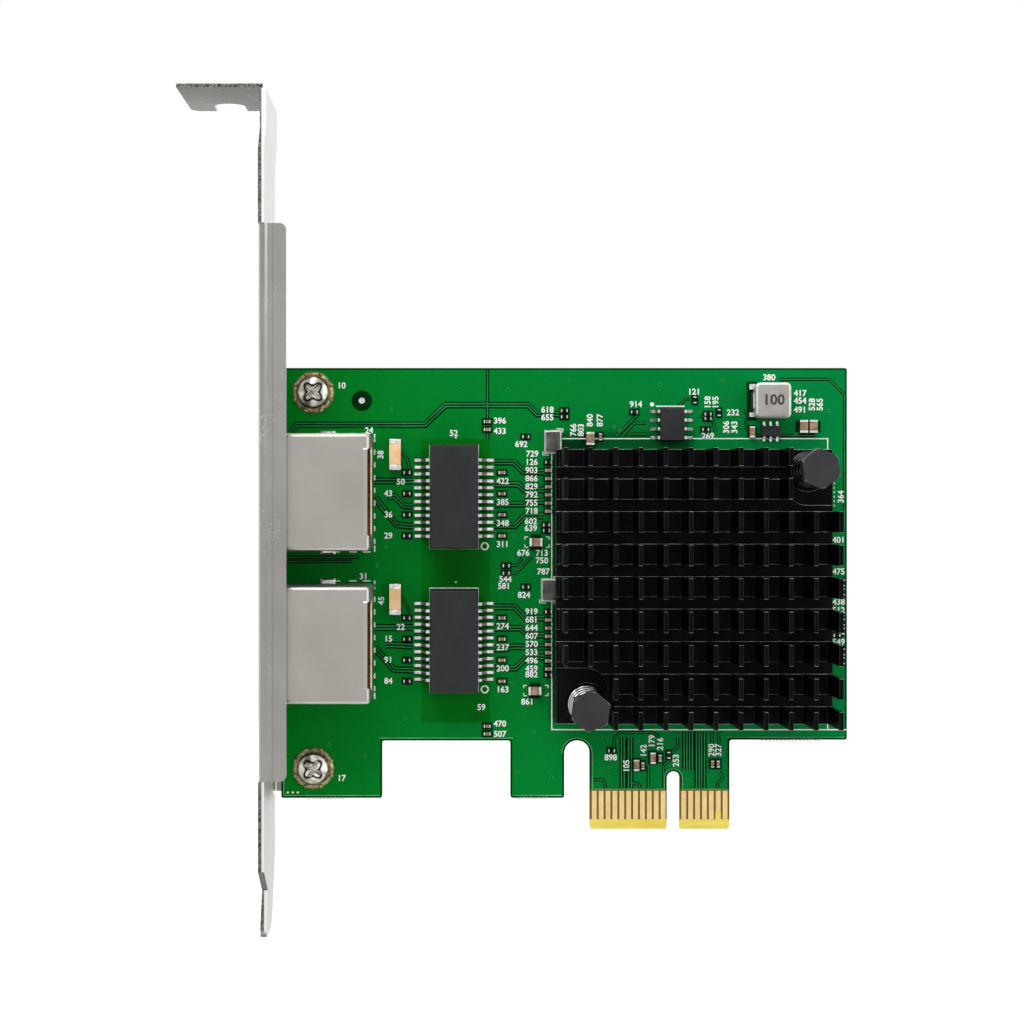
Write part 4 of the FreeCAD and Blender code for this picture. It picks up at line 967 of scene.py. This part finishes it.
def copper():
    """Tracks, and the bare gap in the plane round them."""
    ribbons("gap_round_track_pairs", PAIRS, PAIR_GAP, clearance_height, "clearance")
    ribbons("gap_round_tracks", TRACKS, TRACK_GAP, clearance_height * 0.9, "clearance")
    tracks = [beside(points, side * PAIR_PITCH / 2) for points in PAIRS for side in (-1, 1)]
    ribbons("track_pairs", tracks, TRACK_WIDTH, copper_height, "trace")
    ribbons("tracks", TRACKS, TRACK_WIDTH * 0.8, copper_height * 0.9, "trace")
    ribbons("gap_round_back_tracks", BACK_TRACKS, BACK_GAP, clearance_height, "clearance", at_back=True)
    ribbons("back_tracks", BACK_TRACKS, TRACK_WIDTH * 1.2, copper_height, "trace", at_back=True)


def round_top(middle, spring, radius, steps=12):
    """Arch over a slot, from its left side to its right side."""
    angles = [math.pi * (1.0 - k / steps) for k in range(steps + 1)]
    return [(middle + radius * math.cos(angle), spring + radius * math.sin(angle)) for angle in angles]


# Heights of the board's feet, its notch and the step on its right, and where the contacts' bare part ends.
FOOT_Z = 4.55
NOTCH_Z = 12.88
STEP_Z = 13.0
CONTACTS_END = 5.9


def board_outline(inset):
    """The board's edge moved inwards, in runs; the steps follow the CAD outline."""
    left, right, top = BOARD_LEFT + inset, BOARD_RIGHT - inset, BOARD_TOP - inset
    foot, notch, step = FOOT_Z + inset, NOTCH_Z + inset, STEP_Z + inset
    key_side = 0.95 + inset
    tongue_end = 8.15 - inset
    return {
        "start": [(left, top), (left, foot)],
        "first foot": [(left, foot), (-42.3 - inset, foot)],
        "notch": [(-42.3 - inset, notch), (-23.67 + inset, notch)],
        "second foot": [(-23.67 + inset, foot), (-15.85 - inset, foot)],
        "relief slot": round_top(-14.0, 11.05, 1.85 + inset) + [(-12.15 + inset, CONTACTS_END)],
        "key notch": [(-key_side, CONTACTS_END), *round_top(0.0, 7.45, key_side), (key_side, CONTACTS_END)],
        "tongue": [(tongue_end, CONTACTS_END), (tongue_end, step)],
        "step": [(tongue_end, step), (right, step)],
        "end": [(right, top)]}


# Where the laminate was broken out of its panel: first x, last x and height; and the pitch of the stubs.
SAWN_EDGES = [(-53.0, -47.0, FOOT_Z), (-22.3, -17.6, FOOT_Z), (13.0, 22.2, STEP_Z)]
SAWN_PITCH = 0.55


# The margin without copper and the plane's bright edge: how far in their middle runs, and how wide they are.
MARGIN = (0.16, 0.28)
PLANE_EDGE = (0.36, 0.13)
# Height up the board's left side to which the plane's edge shows.
LEFT_EDGE_TOP = 30.0


def margins():
    """Dark margin without copper round the board, and the bright line of the plane's edge."""
    inset, width = MARGIN
    edge = [point for run in board_outline(inset).values() for point in run]
    ribbons("plane_free_margin", [], width, clearance_height * 0.7, "clearance", [edge])
    inset, width = PLANE_EDGE
    runs = board_outline(inset)
    lines = [runs[name] for name in ("first foot", "notch", "second foot", "step", "relief slot",
                                     "key notch")]
    left, foot = runs["first foot"][0]
    lines.append([(left, foot), (left, LEFT_EDGE_TOP)])
    ribbons("plane_edge_line", lines, width, copper_height * 0.8, "plane_edge")
    stubs = [(first + SAWN_PITCH * k, z, -0.7, 0.3, 0.34, 1.0) for first, last, z in SAWN_EDGES
             for k in range(int((last - first) / SAWN_PITCH))]
    seated("sawn_stubs", stubs, FILLET, "sawn")


# ---------------------------------------------------------------- printing
LINE_WIDTH = 0.2
MARK_WIDTH = 0.14
DASHES = 9
DASH_PITCH = 1.85
DASH = 0.75


def frame_round(low, high):
    return [(low.x, low.z), (high.x, low.z), (high.x, high.z), (low.x, high.z)]


def printed_lines():
    """Frames round the heatsink and the transformers, and broken lines round the jacks."""
    low, high = box_mm("heatsink")
    low += Vector((-0.42, 0.0, -1.28))
    high += Vector((0.05, 0.0, 1.68))
    loops = [frame_round(low, high)]
    lines = [[(high.x, low.z), (BOARD_RIGHT - 0.1, low.z)]]
    for name in BOTH:
        low, high = box_mm("transformer_" + name + "_body")
        loops += [ring(high.x + 0.97, low.z + 0.35, 0.5, 24), frame_round(low, high)]
    for name in BOTH:
        low, high = box_mm("jack_" + name + "_shield")
        x = high.x + 0.15
        for k in range(DASHES):
            z = low.z + 0.8 + k * DASH_PITCH
            lines.append([(x, z), (x, z + DASH)])
        for z, step in ((low.z - 0.35, -1), (high.z + 0.35, 1)):
            lines += [[(x + reach, z), (x + reach - 1.1, z)] for reach in (-5.0, -2.6, -0.6)]
            lines.append([(x, z), (x, z - step * 0.9)])
    low, high = box_mm("memory_chip_body")
    lines.append([(low.x - 0.5, high.z + 0.22), (high.x + 0.1, high.z + 0.22)])
    ribbons("printed_lines", lines, LINE_WIDTH, print_height, "print", loops)


def fine_lines():
    """Thin marks round the larger chip parts and the crystals."""
    lines = []
    for x, z in ((-19.98, 41.7), (-20.14, 20.15)):
        for outer, inner in ((x - 1.6, x - 1.15), (x + 1.95, x + 1.5)):
            lines += [[(outer, z + end * 0.35), (outer, z + end * 0.75), (inner, z + end * 0.75)]
                      for end in (-1, 1)]
    for name in BOTH:
        low, high = box_mm("crystal_" + name + "_base")
        for x, z, along, up in ((low.x, low.z, 1, 1), (high.x, high.z, -1, -1), (high.x, low.z, -1, 1)):
            x -= along * 0.2
            z -= up * 0.2
            lines.append([(x, z + up * 0.5), (x, z), (x + along * 0.9, z)])
    lines += [[(23.35, 50.4 - k * 0.65), (23.35, 50.1 - k * 0.65)] for k in range(6)]
    ribbons("printed_marks", lines, MARK_WIDTH, print_height, "print")


# Places of the plain numbers beside parts: x, z, and quarter turns.
NUMBER_PLACES = [
    (-48.2, 64.4, 0), (-48.2, 7.4, 0), (-44.2, 57.9, 0), (-45.0, 36.7, 0), (-42.5, 54.4, 1),
    (-42.4, 33.2, 1), (-31.9, 57.5, 0), (-27.9, 17.7, 0), (-25.2, 59.3, 0), (-25.2, 57.8, 0),
    (-25.2, 15.3, 0), (-25.2, 13.8, 0), (-24.4, 36.3, 0), (-24.6, 35.3, 0), (-18.3, 60.9, 0),
    (-18.3, 59.8, 0), (-22.1, 55.9, 0), (-20.5, 54.5, 0), (-14.5, 58.0, 1), (-13.4, 58.0, 1),
    (-12.1, 59.4, 1), (-10.65, 59.4, 1), (-5.45, 61.7, 0), (3.0, 63.5, 0), (5.0, 62.0, 1),
    (6.15, 62.0, 1), (8.65, 60.5, 0), (5.0, 57.1, 0), (7.7, 58.4, 1), (8.9, 58.4, 1),
    (13.9, 65.6, 0), (18.4, 63.3, 0), (18.4, 62.2, 0), (18.4, 60.9, 0), (20.15, 61.7, 1),
    (21.3, 61.7, 1), (-20.7, 44.7, 0), (-20.7, 43.7, 0), (-21.8, 40.1, 0), (-19.1, 40.1, 0),
    (-19.1, 39.0, 0), (-18.9, 37.4, 0), (-21.7, 34.0, 0), (-21.2, 18.5, 0), (-9.1, 10.4, 0),
    (-6.8, 9.2, 1), (-4.3, 11.4, 1), (-3.1, 12.8, 1), (-1.9, 12.4, 1), (0.4, 10.0, 1),
    (5.55, 11.5, 1), (6.55, 11.5, 1), (24.35, 48.3, 1), (24.0, 42.0, 0), (24.0, 33.0, 0),
    (24.0, 37.4, 0), (24.0, 31.8, 0), (24.0, 27.2, 0),
]
# Left and right limit of the columns of small chip parts that have a number each.
LEFT_RESISTORS = (-39.5, -38.0)
MIDDLE_CAPACITORS = (-25.2, -24.6)
RIGHT_CHIPS = (-18.3, -18.0)
# Height of the first resistor of each row on the left; its number stands below it.
FIRST_ROWS = (51.8, 30.7)
NUMBER_SIZE = 1.22
INDUCTOR_NUMBER_SIZE = 2.1


def number_mesh(text, x, z, turn, size):
    """One printed number, flat on the board."""
    curve = bpy.data.curves.new("number", "FONT")
    curve.body = text
    curve.size = size * MM
    curve.extrude = print_height * MM / 2
    curve.offset = size * 0.02 * MM
    curve.resolution_u = 3
    curve.align_x = "CENTER"
    curve.align_y = "CENTER"
    mesh = evaluated_mesh(new_object("number", curve), "number")
    bpy.data.curves.remove(curve)
    lay = Matrix.Translation((x * MM, FACE - print_height * MM / 2, z * MM))
    lay @= Matrix.Rotation(-turn * QUARTER, 4, "Y")
    lay @= Matrix.Rotation(QUARTER, 4, "X")
    mesh.transform(lay)
    return mesh


def joined(name, meshes, key):
    """One piece of many small meshes."""
    shape = bmesh.new()
    for mesh in meshes:
        shape.from_mesh(mesh)
        bpy.data.meshes.remove(mesh)
    whole = bpy.data.meshes.new(name)
    shape.to_mesh(whole)
    shape.free()
    set_only_material(whole, key)
    return keep(new_object(name, whole), key)


def in_column(node, column):
    """Middle height of each of the node's solids that stands in a column."""
    middles = [centre(low, high) for low, high in solids_of(node)]
    return [middle.z for middle in middles if column[0] < middle.x < column[1]]


def printed_numbers():
    """Plain numbers beside the parts."""
    places = list(NUMBER_PLACES)
    for z in in_column("chip_resistor_bodies", LEFT_RESISTORS):
        first = min(abs(z - row) for row in FIRST_ROWS) < 0.6
        places.append((-39.6, z - 1.35, 0) if first else (-41.4, z, 0))
    places += [(-20.6, z, 0) for z in in_column("chip_resistor_bodies", RIGHT_CHIPS)]
    places += [(-24.8, z - 1.25, 0) for z in in_column("chip_capacitor_bodies", MIDDLE_CAPACITORS)]
    places += [(-20.6, z, 0) for z in in_column("chip_capacitor_bodies", RIGHT_CHIPS)]
    meshes = []
    for index, (x, z, turn) in enumerate(places):
        value = 10 + (index * 7) % 83 if x < -26 else 100 + (index * 37) % 830
        meshes.append(number_mesh(str(value), x, z, turn, NUMBER_SIZE))
    joined("printed_numbers", meshes, "print")

    low, high = box_mm("inductor_body")
    x, _, z = centre(low, high)
    mark = number_mesh("100", x, z, 0, INDUCTOR_NUMBER_SIZE)
    mark.transform(Matrix.Translation((0, low.y * MM - FACE, 0)))
    joined("inductor_number", [mark], "ink")


# ---------------------------------------------------------------- solder and pads
# How far solder stands out round each kind of end, and how long each kind of lead's foot is.
TOES = {"chip_capacitor_ends": 0.06, "chip_resistor_ends": 0.05, "isolation_capacitor_ends": 0.08,
        "inductor_terminals": 0.12}
ACROSS, UPRIGHT = 0, 2
FEET = {"transformer_lower_leads": (0.9, ACROSS), "transformer_upper_leads": (0.9, ACROSS),
        "memory_chip_leads": (0.6, ACROSS), "regulator_leads": (0.4, UPRIGHT)}
FOOT_LONGER = 0.3
FOOT_WIDER = 0.12
FOOT_SOLDER = 0.12


def solder_fillets():
    """Solder under every lead's foot and round every chip part's end."""
    places = []
    for node, toe in TOES.items():
        for low, high in solids_of(node):
            x, _, z = centre(low, high)
            wide, thick, tall = high - low
            height = min(0.5 * thick, 0.3)
            places.append((x, z, height / 2, wide + 2 * toe, tall + 2 * toe, height))
    seated("chip_part_solder", places, FILLET, "tin")

    feet = []
    for node, (foot, axis) in FEET.items():
        body = centre(*box_mm(node.replace("leads", "body")))
        for low, high in solids_of(node):
            middle = centre(low, high)
            side = math.copysign(1.0, middle[axis] - body[axis])
            middle[axis] = (high if side > 0 else low)[axis] - side * foot / 2
            size = high - low + Vector((FOOT_WIDER, 0.0, FOOT_WIDER))
            size[axis] = foot + FOOT_LONGER
            feet.append((middle.x, middle.z, FOOT_SOLDER / 2, size.x, size.z, FOOT_SOLDER))
    low, high = box_mm("inductor_body")
    pad_x = low.x - 0.22
    feet += [(pad_x, high.z - 0.5, 0.2, 1.2, 1.1, 0.4), (pad_x, low.z + 0.55, 0.2, 1.2, 0.9, 0.4)]
    seated("lead_solder", feet, FILLET, "tin")
    # A dark strip of painted shade between the two solder bits, where the terminal rises.
    gap = (pad_x, (low.z + high.z) / 2, 0.05, 1.5, high.z - low.z + 0.5, 0.1)
    seated("inductor_terminal_shade", [gap], FILLET, "chip_gap")


# How much longer and wider than its chip a gap in the copper is, and its thickness.
GAP_LONGER = 1.05
GAP_WIDER = 0.55
GAP_HEIGHT = 0.008


def chip_gaps():
    """Bare gap in the copper round every chip part, wider at its ends than at its sides."""
    gaps = []
    for node in ("chip_capacitor_bodies", "chip_resistor_bodies"):
        for low, high in solids_of(node):
            x, _, z = centre(low, high)
            wide, _, tall = high - low
            more = (GAP_LONGER, GAP_WIDER) if wide > tall else (GAP_WIDER, GAP_LONGER)
            gaps.append((x, z, GAP_HEIGHT / 2, wide + more[0], tall + more[1], GAP_HEIGHT))
    seated("gap_round_chips", gaps, FILLET, "chip_gap")


# Strips of the jacks' folded back edge: finish, how far along and up from the shield's top back corner its
# middle is, and its width, length and thickness.
LIP_STRIPS = {
    "jack_cover_edges": ("jack_flat", -0.66, -0.1, 0.64, 12.6, 0.22),
    # The middle strip is painted shade in the seam.
    "jack_cover_seam_shade": ("jack_gap", -0.12, -0.42, 0.42, 12.4, 0.7),
    "jack_back_lips": ("jack_seam", 0.13, -0.42, 0.28, 12.4, 0.66)}


def jack_back_lips():
    """Folded back edge of each jack's cover: plating, then a dark strip of painted shade in the seam, then
    the bright lip behind it.
    """
    for name, (key, along, up, *size) in LIP_STRIPS.items():
        places = []
        for jack in BOTH:
            low, high = box_mm("jack_" + jack + "_shield")
            places.append((high.x + along, (low.z + high.z) / 2, FACE / MM - low.y + up, *size))
        seated(name, places, FOLDED, key)


# Where the shields' legs stand: in from the jack's front, and in from its side.
LEG_IN = (8.6, 0.13)
PIN_IN = 0.18


def jack_solder():
    """Domes of solder on the far side, where pins and legs come through, and solder at the legs' feet."""
    domes = []
    front = []
    for name in BOTH:
        for low, high in solids_of("jack_" + name + "_contacts"):
            short = high.x - low.x < 0.5
            pin_x = (low.x + high.x) / 2 if short else high.x - PIN_IN
            domes.append((pin_x, (low.z + high.z) / 2, 0.1, 1.15, 1.15, 1.3))
        low, high = box_mm("jack_" + name + "_shield")
        for z in (low.z + LEG_IN[1], high.z - LEG_IN[1]):
            domes.append((low.x + LEG_IN[0], z, 0.1, 2.3, 2.3, 1.4))
            front.append((low.x + LEG_IN[0], z, 0.1, 2.1, 1.75, 0.2))
    seated("pin_solder", domes, DOME, "tin", True)
    seated("shield_leg_solder", front, FILLET, "tin")


# The bracket screws' pads: middle radius and width, and the radius, number and size of their beads.
PAD_RADIUS = 2.55
PAD_WIDTH = 0.95
BEAD_RADIUS = 2.82
BEADS = 8
BEAD_SIZE = (0.62, 0.62, 0.3)


def screw_pads():
    """Plated pad round each bracket screw, with its beads of solder."""
    rings = []
    beads = []
    for low, high in solids_of("bracket_screws"):
        x, _, z = centre(low, high)
        rings.append(ring(x, z, PAD_RADIUS, 16))
        beads += [(*spot, 0.05, *BEAD_SIZE) for spot in ring(x, z, BEAD_RADIUS, BEADS, 0.5)]
    ribbons("screw_pads", [], PAD_WIDTH, pad_height, "ring_gold", rings)
    seated("screw_pad_beads", beads, DOME, "ring_gold")


def discs(name, spots, size, height, key, at_back=False):
    """Flat round marks of one size at (x, z) spots."""
    seated(name, [(x, z, height / 2, size, size, height) for x, z in spots], DISC, key, at_back)


ALIGNMENT_MARK = (-45.25, 62.25)
# Covered holes, on both faces.
VIAS = [
    (-47.5, 65.5), (-50.0, 12.3), (-44.8, 10.6), (-41.0, 61.0), (-31.0, 64.4), (-24.0, 63.8), (-15.0, 65.2),
    (-9.5, 63.9), (-2.0, 64.6), (7.2, 65.1), (9.3, 62.9), (17.8, 57.4), (22.6, 60.8), (24.0, 53.5),
    (-22.6, 16.8), (-20.3, 14.2), (-22.7, 8.4), (-17.7, 7.6), (-10.6, 13.4), (-9.3, 9.0), (-5.1, 12.9),
    (0.6, 13.6), (7.0, 13.7), (5.0, 7.9), (2.0, 7.3), (-23.0, 42.6), (-25.4, 45.6), (-23.3, 21.3),
    (-21.3, 55.0), (-8.6, 58.4), (-7.7, 57.9), (10.2, 59.8), (-41.7, 41.0), (-43.0, 38.3), (-39.0, 16.0),
]


def round_marks():
    """Alignment mark, printed dots and plated holes."""
    discs("alignment_ring", [ALIGNMENT_MARK], 3.0, 0.02, "clearance")
    discs("alignment_dot", [ALIGNMENT_MARK], 0.95, 0.04, "tin")
    dots = [(-56.0 + 0.72 * k, 5.35, 0.01, 0.3, 0.3, 0.02) for k in range(3)]
    dots.append((-3.1, 61.7, 0.01, 0.62, 0.62, 0.02))
    dots += [(-31.6, z, 0.01, 0.28, 0.28, 0.02) for z in (56.9, 35.9)]
    seated("printed_dots", dots, DISC, "print")
    for name, at_back in (("plated_holes", False), ("plated_holes_back", True)):
        discs(name, VIAS, 0.5, 0.016, "trace", at_back)
        discs(name + "_middles", VIAS, 0.24, 0.024, "clearance", at_back)


def mask_edge():
    """Bright line of mask where the contacts begin."""
    lines = [[(-11.9, 5.85), (-1.2, 5.85)], [(1.2, 5.85), (7.9, 5.85)]]
    ribbons("mask_edge_over_contacts", lines, 0.12, copper_height * 0.8, "plane_edge")


# ---------------------------------------------------------------- stage, light and camera
WHITE = (1.0, 1.0, 1.0, 1.0)
FLOOR_BELOW = 0.26
FLOOR_REACH = 3.0
FLOOR_GLOW = 0.75
GLOSS_GLOW = 0.25
AMBIENT = 0.62


def stage():
    """Pale floor and studio, plain white where the camera, gloss or glass looks at them directly."""
    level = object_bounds()[0].z - FLOOR_BELOW
    mesh = bpy.data.meshes.new("floor")
    corners = [(x * FLOOR_REACH, y * FLOOR_REACH, level) for x, y in ((-1, -1), (1, -1), (1, 1), (-1, 1))]
    mesh.from_pydata(corners, [], [(0, 1, 2, 3)])
    pale = Finish("pale_floor", specular=0.1)
    rays = pale.add("ShaderNodeLightPath").outputs
    direct = pale.times(pale.most(rays["Is Camera Ray"], rays["Is Transmission Ray"]), FLOOR_GLOW)
    pale.set("Emission Strength", pale.maths("ADD", direct, pale.times(rays["Is Glossy Ray"], GLOSS_GLOW)))
    pale.set("Base Color", pale.mottled(pale.cloud(400.0), (0.8, 0.8, 0.8, 1.0), (0.86, 0.86, 0.86, 1.0)))
    pale.shader.inputs["Roughness"].default_value = 0.8
    pale.shader.inputs["Emission Color"].default_value = WHITE
    mesh.materials.append(pale.material)
    new_object("floor", mesh)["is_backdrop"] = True

    world = bpy.data.worlds.new("studio")
    bpy.context.scene.world = world
    world.use_nodes = True
    sky = Nodes(world.node_tree)
    sky.tree.nodes.clear()
    rays = sky.add("ShaderNodeLightPath").outputs
    direct = rays["Is Camera Ray"]
    for kind in ("Is Glossy Ray", "Is Transmission Ray"):
        direct = sky.maths("MAXIMUM", direct, rays[kind])
    strength = sky.maths("ADD", sky.times(direct, 1.0 - AMBIENT), AMBIENT)
    light = sky.add("ShaderNodeBackground", {"Color": WHITE, "Strength": strength})
    sky.add("ShaderNodeOutputWorld", {"Surface": light.outputs[0]})


# Square lamps: where each stands, its width and its power.
LAMPS = {
    "key_light": ((-0.22, -0.42, 0.62), 0.5, 3.2),
    "fill_light": ((0.55, -0.5, 0.15), 0.6, 1.5),
    "rear_light": ((-0.3, 0.7, 0.45), 0.6, 2.6)}
CAMERA_DISTANCE = 0.320
CAMERA_LENS = 77.45625


def lights_and_camera():
    low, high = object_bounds()
    middle = Vector(((low.x + high.x) / 2, FACE, (low.z + high.z) / 2))
    for name, (spot, width, power) in LAMPS.items():
        light = bpy.data.lights.new(name, "AREA")
        light.shape = "SQUARE"
        light.size = width
        light.energy = power
        lamp = new_object(name, light)
        lamp.location = spot
        lamp.rotation_euler = (middle - Vector(spot)).to_track_quat("-Z", "Y").to_euler()

    camera_data = bpy.data.cameras.new("camera")
    camera_data.sensor_width = 36.0
    camera_data.lens = CAMERA_LENS
    camera_data.shift_x = 0.0527
    camera_data.shift_y = -0.002
    camera_data.clip_start = 0.01
    camera = new_object("camera", camera_data)
    camera.location = (-0.03128, FACE - CAMERA_DISTANCE, 0.04638)
    camera.rotation_euler = (QUARTER, 0.0, 0.0)
    bpy.context.scene.camera = camera


# ---------------------------------------------------------------- build
for build in (finished_nodes, springs, copper, margins, printed_lines, fine_lines, printed_numbers,
              solder_fillets, chip_gaps, jack_back_lips, jack_solder, screw_pads, round_marks, mask_edge,
              stage, lights_and_camera):
    build()
bpy.context.scene.view_settings.view_transform = "Standard"
